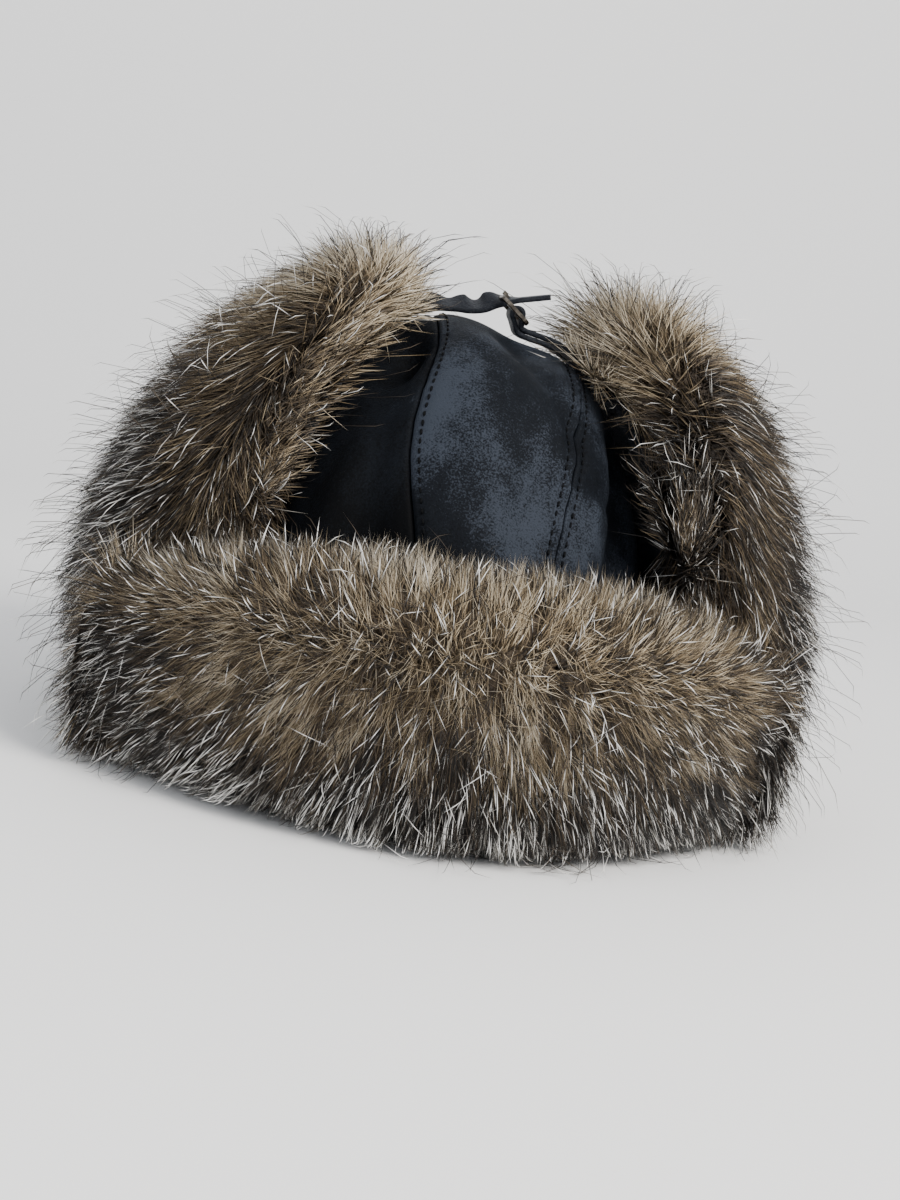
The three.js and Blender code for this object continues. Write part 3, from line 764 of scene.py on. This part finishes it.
def flap_fur_at(across, way, deep):
    """The ear and neck flap's fur: thickest low at the sides, thinner at the tips and behind."""
    _, _, _, _, tip_fur, turn = ear_values(across)
    edge = np.sqrt(np.maximum(0, 1 - np.abs(across / 1.06) ** 9))
    thick = 50 * mix(1, edge, smooth(way, 0.15, 0.45))
    thick = thick * mix(0.72, mix(1.25, tip_fur, np.clip(way, 0, 1) ** 0.75), is_ear(turn))
    neck_rise = rise_at(neck_height)
    top = 1 + fur_overhang * neck_rise / (neck_height * flap_top(across))
    return on_flap(across, mix(fur_ground / neck_height, top, way), skin + deep * thick * rounded(way))


# %% [markdown]
# ## Where two furs meet
# The visor's fur and the ears' fur press against each other. Each is cut off at a plane there: two furs that
# pass through each other would look the same, but couldn't be used apart.

# %% Seam planes of the fur
def past_seam(points, sign):
    """Distance in front of the plane where the visor's fur and an ear's fur press together, on one side."""
    turn = np.radians(fur_seam)
    start = on_crown(fur_seam * sign, 0, 0.0)
    normal = np.array([-sign * np.cos(turn), -np.sin(turn), 0])
    return (points - start) @ normal, normal


def keep_side(points, front):
    """Moves the points that lie past the seam planes back onto them."""
    points = points.copy()
    for sign in (-1, 1):
        side = (points[..., 0] * sign) > 0
        away, normal = past_seam(points, sign)
        wrong = np.where(side, np.minimum(away - press_gap, 0) if front else np.maximum(away + press_gap, 0), 0)
        points -= wrong[..., None] * normal
    return points


# %% [markdown]
# ## The two furs
# A table keeps what differs between the visor's fur and the flap's, so that the undercoat and the hairs need
# no code of their own for either.

# %% Table of the furs
# For each fur: how far round it reaches past its leather, whether it is in front of the seam planes, its
# columns, which way its grid faces, how long it is for its height, and where the hairs part.
furs = {
    "visor": dict(node="visor_fur", at=visor_fur_at, reach=69 / 60, front=True, columns=90, out=1,
                  girth=2.2, parting=0.7),
    "flap": dict(node="ear_neck_fur", at=flap_fur_at, reach=1.05, front=False, columns=200, out=-1,
                 girth=5.0, parting=0.9),
}
print("furs and their nodes:", {name: fur["node"] for name, fur in furs.items()})

# %% [markdown]
# ## Fur: its colours
# The fur is brown and tan where the flaps' tips and the visor's top catch the light, and nearly black low
# down, where more hairs have white ends. Two functions say this for any place, and the undercoat and the
# hairs both ask them, so they always agree.

# %% Shades
def visor_shades(across, way):
    """How pale the wool hairs are, and the share of guard hairs with white tips."""
    end = np.maximum(smooth(-across, 0.64, 0.92), smooth(across, 0.84, 1.04)) * (1 - smooth(way, 0.55, 0.8))
    # Painted shade: the pale band at the top, and the whole visor, are darker towards the right, where the key
    # light falls strongest.
    pale = mix(0.09, 0.42, smooth(way, 0.22, 0.48)) + 0.1 * smooth(way, 0.72, 0.92) * (1 - 0.4 * across)
    pale = mix(pale, 0.15, end) - 0.03 * np.sin(across * 9 + way * 7) - 0.06 * np.maximum(across, 0)
    return pale, mix(0.55, 0.2, smooth(way, 0.2, 0.48) * (1 - end)) + 0.12 * smooth(way, 0.7, 0.8)


def flap_shades(across, way):
    """The same for the flap: tan at the tips and the front edges, and nearly black low down."""
    _, tip_rise, _, _, _, turn = ear_values(across)
    edge = smooth(np.abs(across), 0.84, 0.98) * smooth(way, 0.25, 0.5)
    tip = smooth(way * flap_top(across) / tip_rise, 0.66, 0.93)
    brown = np.where(across < 0, 0.34 * smooth(way, 0.38, 0.7), 0.17 * smooth(way, 0.3, 0.6))
    brown = mix(brown, np.where(across < 0, 0.25, 0.17), edge)
    pale = 0.065 + brown * (1 - tip) + 0.58 * tip - 0.03 * np.sin(across * 31 + way * 9)
    pale = pale + 0.3 * np.exp(-(((across - 1.02) / 0.05) ** 2) - ((way - 0.5) / 0.09) ** 2)  # bare patch
    white = mix(np.where(across < 0, 0.55, 0.48), 0.12, np.maximum(edge, tip**2))
    return pale * mix(0.75, 1, is_ear(turn)), white


furs["visor"]["shades"], furs["flap"]["shades"] = visor_shades, flap_shades
heights = np.array([0.1, 0.5, 0.9])
for name, fur in furs.items():
    print(name, "paleness low, halfway and high:", fur["shades"](np.full(3, 0.5), heights)[0].round(2))

# %% [markdown]
# ## Fur: the undercoat
# Its material is streaked noise, stretched down the fur as wool lies, and made darker or paler by the shades.

# %% Undercoat
fur_wool, nodes, links, shader = new_material("fur wool")
pale_here = nodes.new("ShaderNodeAttribute")
pale_here.attribute_name = "pale"
streaks = add_noise(nodes, links, 230, 6, 0.75, (1, 1, 0.3))
shade = nodes.new("ShaderNodeMath")
shade.operation = "MULTIPLY"
links.new(pale_here.outputs["Fac"], shade.inputs[0])
links.new(streaks, shade.inputs[1])
stops = [
    (0.0, (0.003, 0.0025, 0.002)), (0.1, (0.014, 0.01, 0.007)),
    (0.2, (0.05, 0.035, 0.021)), (0.32, (0.14, 0.105, 0.068)),
]
links.new(add_ramp(nodes, links, shade.outputs[0], stops), shader.inputs["Base Color"])
shader.inputs["Roughness"].default_value = 0.9
add_bump(nodes, links, streaks, shader, 0.8, 0.004)

undercoat_depth = 0.9
for name, fur in furs.items():
    way, across = np.meshgrid(np.linspace(0, 1, 36), np.linspace(-1, 1, fur["columns"]), indexing="ij")
    across = across * fur["reach"]
    outer = keep_side(fur["at"](across, way, undercoat_depth), fur["front"])
    inner = keep_side(fur["at"](across, way, 0.0), fur["front"])
    outer[..., 2] = np.maximum(outer[..., 2], fur_ground)
    inner[..., 2] = np.maximum(inner[..., 2], fur_ground)
    coat = make_wall("undercoat_" + name, outer, inner)
    set_values(coat, "pale", np.clip(fur["shades"](across, way)[0], 0, 1))
    finish_piece(coat, fur_wool, "fur", fur["node"])

# %% [markdown]
# ## Fur: the hairs
# This fur has brown wool, and long guard hairs that are dark with white tips. Blender's own hair would need
# particles that other programs can't read, so each hair here is a thin closed body, bent as it falls. Its u
# says which kind it is, and its v how far along it a point lies, so one material colours them all.

# %% Hair material
hair_coat, nodes, links, shader = new_material("fur hair")
place = nodes.new("ShaderNodeUVMap")
place.uv_map = "OFBake"
split = nodes.new("ShaderNodeSeparateXYZ")
links.new(place.outputs["UV"], split.inputs["Vector"])
# Along u: wool from black to tan up to 0.6, and above that guard hairs from dark ones to white-tipped ones.
lower = [
    (0.0, (0.003, 0.0025, 0.002)), (0.15, (0.009, 0.0065, 0.005)), (0.3, (0.038, 0.027, 0.017)),
    (0.42, (0.088, 0.062, 0.034)), (0.54, (0.19, 0.142, 0.084)), (0.6, (0.26, 0.21, 0.14)),
    (0.62, (0.003, 0.0025, 0.002)), (1.0, (0.01, 0.008, 0.006)),
]
upper = [
    (0.0, (0.004, 0.0035, 0.003)), (0.15, (0.02, 0.015, 0.011)), (0.3, (0.085, 0.062, 0.039)),
    (0.42, (0.255, 0.188, 0.106)), (0.54, (0.5, 0.405, 0.265)), (0.6, (0.64, 0.56, 0.43)),
    (0.62, (0.01, 0.009, 0.008)), (0.72, (0.4, 0.38, 0.34)),
    (0.8, (0.85, 0.83, 0.78)), (1.0, (0.98, 0.96, 0.93)),
]
lower_colour = add_ramp(nodes, links, split.outputs["X"], lower)
upper_colour = add_ramp(nodes, links, split.outputs["X"], upper)
towards_tip = add_ramp(nodes, links, split.outputs["Y"], [(0.42, (0, 0, 0)), (0.72, (1, 1, 1))])
blend = nodes.new("ShaderNodeMix")
blend.data_type = "RGBA"
links.new(towards_tip, blend.inputs["Factor"])
links.new(lower_colour, blend.inputs["A"])
links.new(upper_colour, blend.inputs["B"])
links.new(blend.outputs["Result"], shader.inputs["Base Color"])
shader.inputs["Roughness"].default_value = 0.5
shader.inputs["Specular IOR Level"].default_value = 0.35


# %% [markdown]
# ## Fur: the form of one hair
# A hair leaves the skin at an angle and droops. A curve of the second degree does that, and a few thousand of
# them are worked out at once as arrays. Near the ground and at the far ends the hairs are bent back softly.

# %% Hair shapes
# Hairs that pass these limits, in millimetres, are bent back over a distance of about 9.
lowest, highest, widest, soft_end = 6, 203, 162, 9


def hair_paths(roots, tangent, normal, length, lift, droop, stations):
    """Curved paths. A point at the share t of a hair is
    root + length * (t * (tangent * cos(lift) + normal * sin(lift)) - droop * t^2 * sin(lift) * normal)."""
    t = stations[None, :, None]
    rise, run = np.sin(lift)[:, None, None], np.cos(lift)[:, None, None]
    path = roots[:, None] + length[:, None, None] * (
        t * (tangent[:, None] * run + normal[:, None] * rise) - droop * t**2 * rise * normal[:, None]
    )
    flat = path[..., :2] + hat_middle[:2] * 1000
    far = np.abs(flat)
    far = np.where(far > widest, widest + soft_end * (1 - np.exp(-(far - widest) / soft_end)), far)
    path[..., :2] = np.sign(flat) * far - hat_middle[:2] * 1000
    z = path[..., 2]
    z = np.where(z < lowest, lowest * np.exp(np.clip((z - lowest) / lowest, -3, 0)), z)
    path[..., 2] = np.where(z > highest, highest + soft_end * (1 - np.exp(-(z - highest) / soft_end)), z)
    return path


# %% [markdown]
# ## Fur: points round a hair
# Three points round each station make the thinnest closed body. All the hairs of a kind share one list of
# faces, which is repeated with a shift, so a hundred thousand hairs cost no loop.

# %% Rings and joining
def circles_round(path, normal, width):
    """Three points round each point of the paths, square to the way that each path runs."""
    way = unit(np.gradient(path, axis=1))
    side = unit(np.cross(way, normal[:, None]))
    up = np.cross(side, way)
    turn = np.arange(3) * 2 * np.pi / 3
    circle = np.cos(turn)[:, None] * side[:, :, None] + np.sin(turn)[:, None] * up[:, :, None]
    return path[:, :, None] + circle * width[:, None, None, None] / 2


def join_hairs(name, points, faces, shade, u, v):
    """One mesh of many hairs that share the same few faces: u is the shade, v the place along the hair."""
    count, each = points.shape[:2]
    uv = np.stack(np.broadcast_arrays(shade[:, None] + u[None], v[None]), -1)[:, faces]
    all_faces = (faces[None] + (np.arange(count) * each)[:, None, None]).reshape(-1, 3)
    return make_mesh(name, points.reshape(-1, 3), all_faces, uv.reshape(-1, 2))


# %% [markdown]
# ## Fur: two kinds of hair
# Wool is so fine that a straight needle of four faces is enough. A guard hair is seen by itself, so it is a
# spindle that swells, bends and tapers, with twelve faces.

# %% Needles and spindles
def make_needles(name, roots, tangent, normal, length, lift, width, shade):
    """Fine straight wool: a triangle at the root and a point at the tip, with four faces each."""
    path = hair_paths(roots, tangent, normal, length, lift, 0.45, np.array([0.0, 1.0]))
    ring = circles_round(path, normal, width)[:, 0]
    points = np.concatenate([ring, path[:, 1:]], 1)
    faces = np.array([[0, 2, 1], [0, 1, 3], [1, 2, 3], [2, 0, 3]])
    u, v = np.array([0, 0.001, 0.002, 0.001]), np.array([0.02, 0.02, 0.03, 0.98])
    return join_hairs(name, points, faces, shade, u, v)


def make_spindles_of_hair(name, roots, tangent, normal, length, lift, width, shade):
    """Guard hairs: closed spindles with two rings of three points between the root and the tip."""
    stations = np.array([0.0, 0.4, 0.75, 1.0])
    path = hair_paths(roots, tangent, normal, length, lift, 0.5, stations)
    rings = circles_round(path, normal, width)[:, 1:3].reshape(len(roots), 6, 3)
    points = np.concatenate([path[:, :1], rings, path[:, -1:]], 1)
    k = np.arange(3)
    n = (k + 1) % 3
    faces = np.concatenate([
        np.stack([0 * k, 1 + k, 1 + n], -1), np.stack([1 + k, 4 + k, 4 + n], -1),
        np.stack([1 + k, 4 + n, 1 + n], -1), np.stack([4 + k, 0 * k + 7, 4 + n], -1),
    ])
    u = np.array([0.001, 0, 0.001, 0.002, 0, 0.001, 0.002, 0.001])
    v = np.array([0.02, 0.4, 0.4, 0.4, 0.75, 0.75, 0.75, 0.98])
    return join_hairs(name, points, faces, shade, u, v)


# %% [markdown]
# ## Fur: where the hairs grow
# A skin carries its hairs evenly, so the roots are spread by area. A turned-up flap also shows the cut side
# of its fur along its front edge, and wool that laps over the leather's edge towards the crown. Those hairs
# are placed on purpose, because an even spread over the outside leaves both bare.

# %% Roots
# How deep in the fur the roots lie, which share of the flap's hairs is on its front face, and how far round.
root_depth, front_share, past_leather = 0.86, 0.2, 1.12


def scatter(fur, amount):
    """Places spread evenly over a fur's outside: random ones, kept in proportion to the area there."""
    across = rng.uniform(-1, 1, amount * 5) * min(fur["reach"], past_leather)
    way = rng.uniform(0.02, 0.985, amount * 5)
    step = 0.01
    a = fur["at"](across + step, way, 1.0) - fur["at"](across - step, way, 1.0)
    b = fur["at"](across, way + step, 1.0) - fur["at"](across, way - step, 1.0)
    area = np.linalg.norm(np.cross(a, b), axis=-1)
    kept = np.flatnonzero(rng.uniform(0, 1, len(area)) < area / np.quantile(area, 0.995))
    return across[kept][:amount], way[kept][:amount]


def place_hairs(fur, amount):
    """Where each hair grows. A fifth of the flap's are on its front face, at any depth from the leather to
    the outside, and some of those are on the crown's side, in a strip along the front or the upper edge."""
    across, way = scatter(fur, amount)
    count = len(across)
    facing = np.zeros(count, bool) if fur["front"] else rng.uniform(0, 1, count) < front_share
    a, b, c = rng.uniform(0, 1, (3, count))
    across = np.where(facing, np.sign(across) * mix(0.86, 1.05, np.minimum(a * 2, 1)), across)
    way = np.where(facing, mix(0.35, 0.98, b**0.7), way)
    deep = np.where(facing, mix(0.04, root_depth, c), root_depth)
    inner = facing & (a > 0.7)
    upper = inner & (b > 0.45)
    across = np.where(inner, np.sign(across) * mix(np.where(upper, 0.6, 0.985), 1.05, c), across)
    way = np.where(upper, mix(0.88, 0.99, (b - 0.45) / 0.55), way)
    deep = np.where(inner, 0.0, deep)
    return dict(across=across, way=way, deep=deep, facing=facing, inner=inner)


# %% [markdown]
# ## Fur: combing
# Hairs lie the way the skin was combed: down the visor's front, and down and back over the ears. Each fur has
# a flow over its surface that says so. Combing by hand in Blender would do it too, but a formula keeps the
# flow when the form changes.

# %% Flow
def visor_flow(across, way):
    """Combed down below the parting and up above it, and fanned out towards both ends."""
    up = mix(-1.0, 1.0, smooth(way, 0.55, 0.85))
    return np.stack([across * 1.1 + 0.9 * np.abs(across) ** 4 * np.sign(across), up], -1)


def flap_flow(across, way):
    """Down and back over the ears, up only at the very tips, and straight down behind."""
    turn = ear_values(across)[5]
    up = mix(-1.0, 0.9, smooth(way, 0.84, 0.95))
    forward = 0.9 * smooth(np.abs(across), 0.93, 1.0)
    back = -np.sign(across) * mix(0.15, 0.35, is_ear(turn)) + np.sign(across) * forward
    return np.stack([back, up], -1)


furs["visor"]["flow"], furs["flap"]["flow"] = visor_flow, flap_flow


# %% [markdown]
# ## Fur: locks
# Neighbouring hairs cling together. Spots are spread over the fur, and each hair belongs to the nearest one.
# A full table of distances would be very large, so it is worked out in blocks.

# %% Locks
wildness = {"wool": 0.22, "guard": 0.4, "stray": 0.8}
pull_to_lock = {"wool": 14, "guard": 4, "stray": 4}
hairs_in_lock = 45


def nearest(points, spots):
    """The nearest spot to each point, found in blocks so that the table stays small."""
    found = np.zeros(len(points), int)
    for start in range(0, len(points), 2000):
        block = points[start:start + 2000]
        found[start:start + 2000] = ((block[:, None] - spots[None]) ** 2).sum(-1).argmin(1)
    return found


def comb(hairs, fur, kind, amount):
    """Each hair's flow and its lock: the fur's own flow, a random part, and a pull to the lock's middle."""
    scale = np.array([fur["girth"], 1.0])
    spots = np.stack(scatter(fur, amount // hairs_in_lock), -1) * scale
    here = np.stack([hairs["across"], hairs["way"]], -1) * scale
    hairs["lock"] = nearest(here, spots)
    pull = (spots[hairs["lock"]] - here) / scale
    wild = wildness[kind] * mix(0.4, 1, smooth(hairs["way"], 0.2, 0.5))[:, None]
    flow = fur["flow"](hairs["across"], hairs["way"] + rng.normal(0, 0.06, len(here)))
    flow += rng.normal(0, wild, here.shape) + pull * pull_to_lock[kind]
    return flow, len(spots)


# %% [markdown]
# ## Fur: on the surface
# Here the places and flows become points and directions in space. Roots that lie past a seam plane are moved
# back onto it. There the fur ends in a flat face, so its hairs point forwards, hang down over it, and rise
# near the tips.

# %% Directions
near_enough, tips_from = 9, 78  # how far a root may be moved, and the height above which any move is fine


def surface_frame(fur, across, way, deep, flow):
    """A point of the fur, and unit vectors there: outward, along the flow (across, way), and sideways."""
    at = fur["at"]
    step = 0.004
    here = at(across, way, deep)
    by_across = (at(across + step, way, deep) - at(across - step, way, deep)) / (2 * step)
    by_way = (at(across, way + step, deep) - at(across, way - step, deep)) / (2 * step)
    normal = unit(np.cross(by_across, by_way)) * fur["out"]
    sideways, upward = unit(by_across), unit(by_way)
    along = unit(flow[:, :1] * sideways + flow[:, 1:] * upward)
    return here, normal, along, sideways


def root_hairs(hairs, fur, flow):
    """Adds roots and directions, and keeps the hairs whose roots were near enough to their fur."""
    here, normal, along, sideways = surface_frame(fur, hairs["across"], hairs["way"], hairs["deep"], flow)
    roots = keep_side(here, fur["front"])
    moved = np.linalg.norm(roots - here, axis=-1)
    inside = moved < near_enough
    if not fur["front"]:
        inside |= roots[:, 2] > tips_from
    inside &= ~hairs["facing"] | (moved > 0.1) | (np.abs(hairs["across"]) > 1.04) | hairs["inner"]
    hairs.update(roots=roots, normal=normal, along=along, sideways=sideways, moved=moved)
    return {key: values[inside] for key, values in hairs.items()}


def lay_on_face(hairs, fur):
    """Turns the hairs of the front faces: out from the face, and down over it or up near the tips."""
    sign, turn, moved = np.sign(hairs["roots"][:, :1]), np.radians(fur_seam), hairs["moved"]
    ahead = np.concatenate([-sign * np.cos(turn), -np.sin(turn) + 0 * sign, 0 * sign], -1) * fur["out"] * -1
    ahead = np.where((moved > 0.1)[:, None], ahead, hairs["sideways"] * np.sign(hairs["across"])[:, None])
    on_face = np.maximum(smooth(moved, 0.1, 3.0), hairs["facing"])[:, None]
    normal = np.where(hairs["inner"][:, None], -hairs["normal"], hairs["normal"])
    rising = smooth(hairs["way"], 0.78, 0.92)[:, None]
    stray = rng.normal(0, 0.25, (len(moved), 3))
    hang = unit(normal * 0.45 + np.array([0, 0, 1]) * mix(-0.8, 0.9, rising) + stray)
    hairs["along"] = unit(mix(hairs["along"], hang, on_face))
    hairs["normal"] = unit(mix(normal, ahead, on_face * 0.9))


# %% [markdown]
# ## Fur: length and shade
# Hairs stand up at the parting, are longest at the ears' tips, and are fuller low on the flaps. Their shade
# follows the fur's own colours, with locks that are darker or paler, because an even brown looks like felt.

# %% Length and shade
steepest = 78.0


def length_and_lift(hairs, fur, tint, length, lift):
    """Each hair's length and angle to the skin: random, plus the parting, the tips' puff and the fullness."""
    across, way, count = hairs["across"], hairs["way"], len(tint)
    stand = np.exp(-(((way - fur["parting"]) / 0.1) ** 2))
    puff = smooth(way, 0.8, 0.97) * (0.25 if fur["front"] else is_ear(ear_values(across)[5]))
    full = np.zeros(count) if fur["front"] else 1 - smooth(way, 0.55, 0.8)
    long = length * rng.uniform(0.65, 1.25, count) * (1 + 0.15 * tint)
    long = long * (1 + puff * np.where(across > 0, 0.95, 0.5))
    long = long * (1 + 0.15 * full)
    angle = lift * rng.uniform(0.5, 1.5, count) * (1 + 1.3 * stand + 0.6 * full) + 30 * puff + 4 * tint
    return long, np.radians(np.minimum(angle, steepest))


def streaks_at(across, way):
    """Broad streaks from -1 to 1: waves across the fur whose places drift a little on the way up."""
    drift = way * 1.4 + 0.5 * np.sin(way * 7)
    broad = 0.5 * np.sin(across * 23 + drift * 3) * np.sin(across * 11 + 1 + way * 5)
    return broad + 0.5 * np.sin(across * 41 + way * 13)


def hair_shades(hairs, fur, kind, tint):
    """Each hair's place on the ramps: up to 0.6 for wool, and above it for dark and white guard hairs."""
    across, way, count = hairs["across"], hairs["way"], len(tint)
    pale, white = fur["shades"](across, way)
    if kind == "wool":
        pale = pale * (1 + 0.36 * tint + 0.3 * streaks_at(across, way))
        shade = np.clip(pale + rng.normal(0, 0.105, count), 0.01, 0.595)
        peppered = rng.uniform(0, 1, count) < 0.16 * (1 - smooth(pale, 0.12, 0.3))
        return np.where(peppered, rng.uniform(0.7, 0.9, count), shade)
    white_share = white * (1 + 0.5 * tint) if kind == "guard" else 0.15
    is_white = rng.uniform(0, 1, count) < white_share
    return np.where(is_white, rng.uniform(0.72, 0.98, count), rng.uniform(0.02, 0.3, count))


# %% [markdown]
# ## Fur: growing it
# Three kinds make the coat: dense brown wool, guard hairs with white tips, and a few long dark ones that
# stand off and blur the outline. The flap's wool is in two halves, so that each piece stays under 200,000
# triangles.

# %% All the hairs
def grow_hairs(title, name, kind, amount, length, lift, width):
    """The hairs of one kind on one fur, as one piece. Tint is one random value for each lock."""
    fur = furs[name]
    hairs = place_hairs(fur, amount)
    flow, locks = comb(hairs, fur, kind, amount)
    hairs = root_hairs(hairs, fur, flow)
    lay_on_face(hairs, fur)
    tint = rng.uniform(-1, 1, locks)[hairs["lock"]]
    long, angle = length_and_lift(hairs, fur, tint, length, lift)
    shade = hair_shades(hairs, fur, kind, tint)
    thick = width * rng.uniform(0.75, 1.25, len(tint))
    shape = make_needles if kind == "wool" else make_spindles_of_hair
    piece = shape(title, hairs["roots"], hairs["along"], hairs["normal"], long, angle, thick, shade)
    finish_piece(piece, hair_coat, "fur")
    print("  hairs:", len(tint), "in locks:", locks)


hair_kinds = [
    # piece         fur      kind     amount length lift  width
    ("visor_wool", "visor", "wool", 46000, 17.0, 24.0, 0.5),
    ("flap_wool_1", "flap", "wool", 47000, 22.0, 27.0, 0.58),
    ("flap_wool_2", "flap", "wool", 47000, 22.0, 27.0, 0.58),
    ("visor_guard", "visor", "guard", 7500, 19.0, 24.0, 0.3),
    ("flap_guard", "flap", "guard", 12500, 26.0, 28.0, 0.31),
    ("visor_stray", "visor", "stray", 600, 32.0, 45.0, 0.22),
    ("flap_stray", "flap", "stray", 2600, 46.0, 50.0, 0.24),
]
for row in hair_kinds:
    grow_hairs(*row)

# %% [markdown]
# ## Floor and wall
# The hat stands in front of a pale wall. One curved sheet is both floor and wall, so no line shows behind it.

# %% Stage
bend = np.linspace(0.1, np.pi / 2, 12)
profile = np.concatenate([
    np.stack([np.linspace(-1.6, 0.7, 12), np.zeros(12)], -1),
    np.stack([0.7 + 0.5 * np.sin(bend), 0.5 - 0.5 * np.cos(bend)], -1),
    np.stack([np.full(6, 1.2), np.linspace(0.7, 2.4, 6)], -1),
])
x, k = np.meshgrid(np.linspace(-2.5, 2.5, 20), np.arange(len(profile)), indexing="xy")
stage_points = np.stack([x, profile[k, 0], profile[k, 1]], -1)
stage_mesh = bpy.data.meshes.new("stage")
stage_mesh.from_pydata(
    stage_points.reshape(-1, 3).tolist(), [], grid_faces(len(profile), 20).tolist()
)
stage_mesh.polygons.foreach_set("use_smooth", np.ones(len(stage_mesh.polygons), bool))
stage = bpy.data.objects.new("stage", stage_mesh)
bpy.context.scene.collection.objects.link(stage)
wall_paint, nodes, links, shader = new_material("stage paint")
shader.inputs["Base Color"].default_value = (0.93, 0.925, 0.91, 1)
shader.inputs["Roughness"].default_value = 0.9
stage_mesh.materials.append(wall_paint)
stage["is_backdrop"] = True
print("floor and wall, points:", len(stage_mesh.vertices))

# %% [markdown]
# ## Light
# The real light is soft and comes from the upper right in front. A large square light gives that, with a
# weaker one from the left and an even glow all round, so that the dark leather keeps some form.

# %% Lights
def add_light(name, place, size, power, colour):
    """A square soft light at a place in metres, turned to the hat."""
    data = bpy.data.lights.new(name, "AREA")
    data.size, data.energy, data.color = size, power, colour
    light = bpy.data.objects.new(name, data)
    light.location = place
    light.rotation_euler = (Vector((0, 0, 0.1)) - Vector(place)).to_track_quat("-Z", "Y").to_euler()
    bpy.context.scene.collection.objects.link(light)
    light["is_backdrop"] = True
    print(name, "light, in watts:", power)


add_light("key", (0.75, -1.0, 1.15), 0.7, 40, (1, 0.97, 0.93))
add_light("fill", (-1.1, -0.9, 0.7), 1.2, 10, (0.93, 0.96, 1))
world = bpy.data.worlds.new("room")
bpy.context.scene.world = world
world.use_nodes = True
world.node_tree.nodes["Background"].inputs["Color"].default_value = (0.9, 0.93, 1, 1)
world.node_tree.nodes["Background"].inputs["Strength"].default_value = 0.8

# %% [markdown]
# ## Camera
# It looks from where the photographer stood, slightly left of the front and a little above. The hat leans in
# the picture, so the camera is rolled by ten degrees rather than the hat, which rests flat.

# %% Camera
distance, eye_height, swing, lean = 700, 180, -8, 10  # millimetres and degrees
lens = bpy.data.cameras.new("camera")
lens.sensor_width, lens.sensor_fit, lens.lens = 36, "HORIZONTAL", 70.5
camera = bpy.data.objects.new("camera", lens)
bpy.context.scene.collection.objects.link(camera)
around = np.radians(swing)
camera.location = metres([distance * np.sin(around), -distance * np.cos(around), eye_height])
aim = Vector(metres([8, 0, 67]))
turned = (aim - camera.location).to_track_quat("-Z", "Y").to_matrix()
tilt = np.radians(lean)
roll = np.array([[np.cos(tilt), -np.sin(tilt), 0], [np.sin(tilt), np.cos(tilt), 0], [0, 0, 1]])
camera.rotation_euler = (turned @ Matrix(roll.tolist())).to_euler()
bpy.context.scene.camera = camera
print("camera at", [round(value, 3) for value in camera.location])

# %% [markdown]
# ## Sizes
# The last cell measures what is shown against the imported model.

# %% Check of the sizes
shown_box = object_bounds()
for name, (low, high) in (("packed", packed_box), ("shown", shown_box)):
    print(name, [round(v, 4) for v in low], [round(v, 4) for v in high])
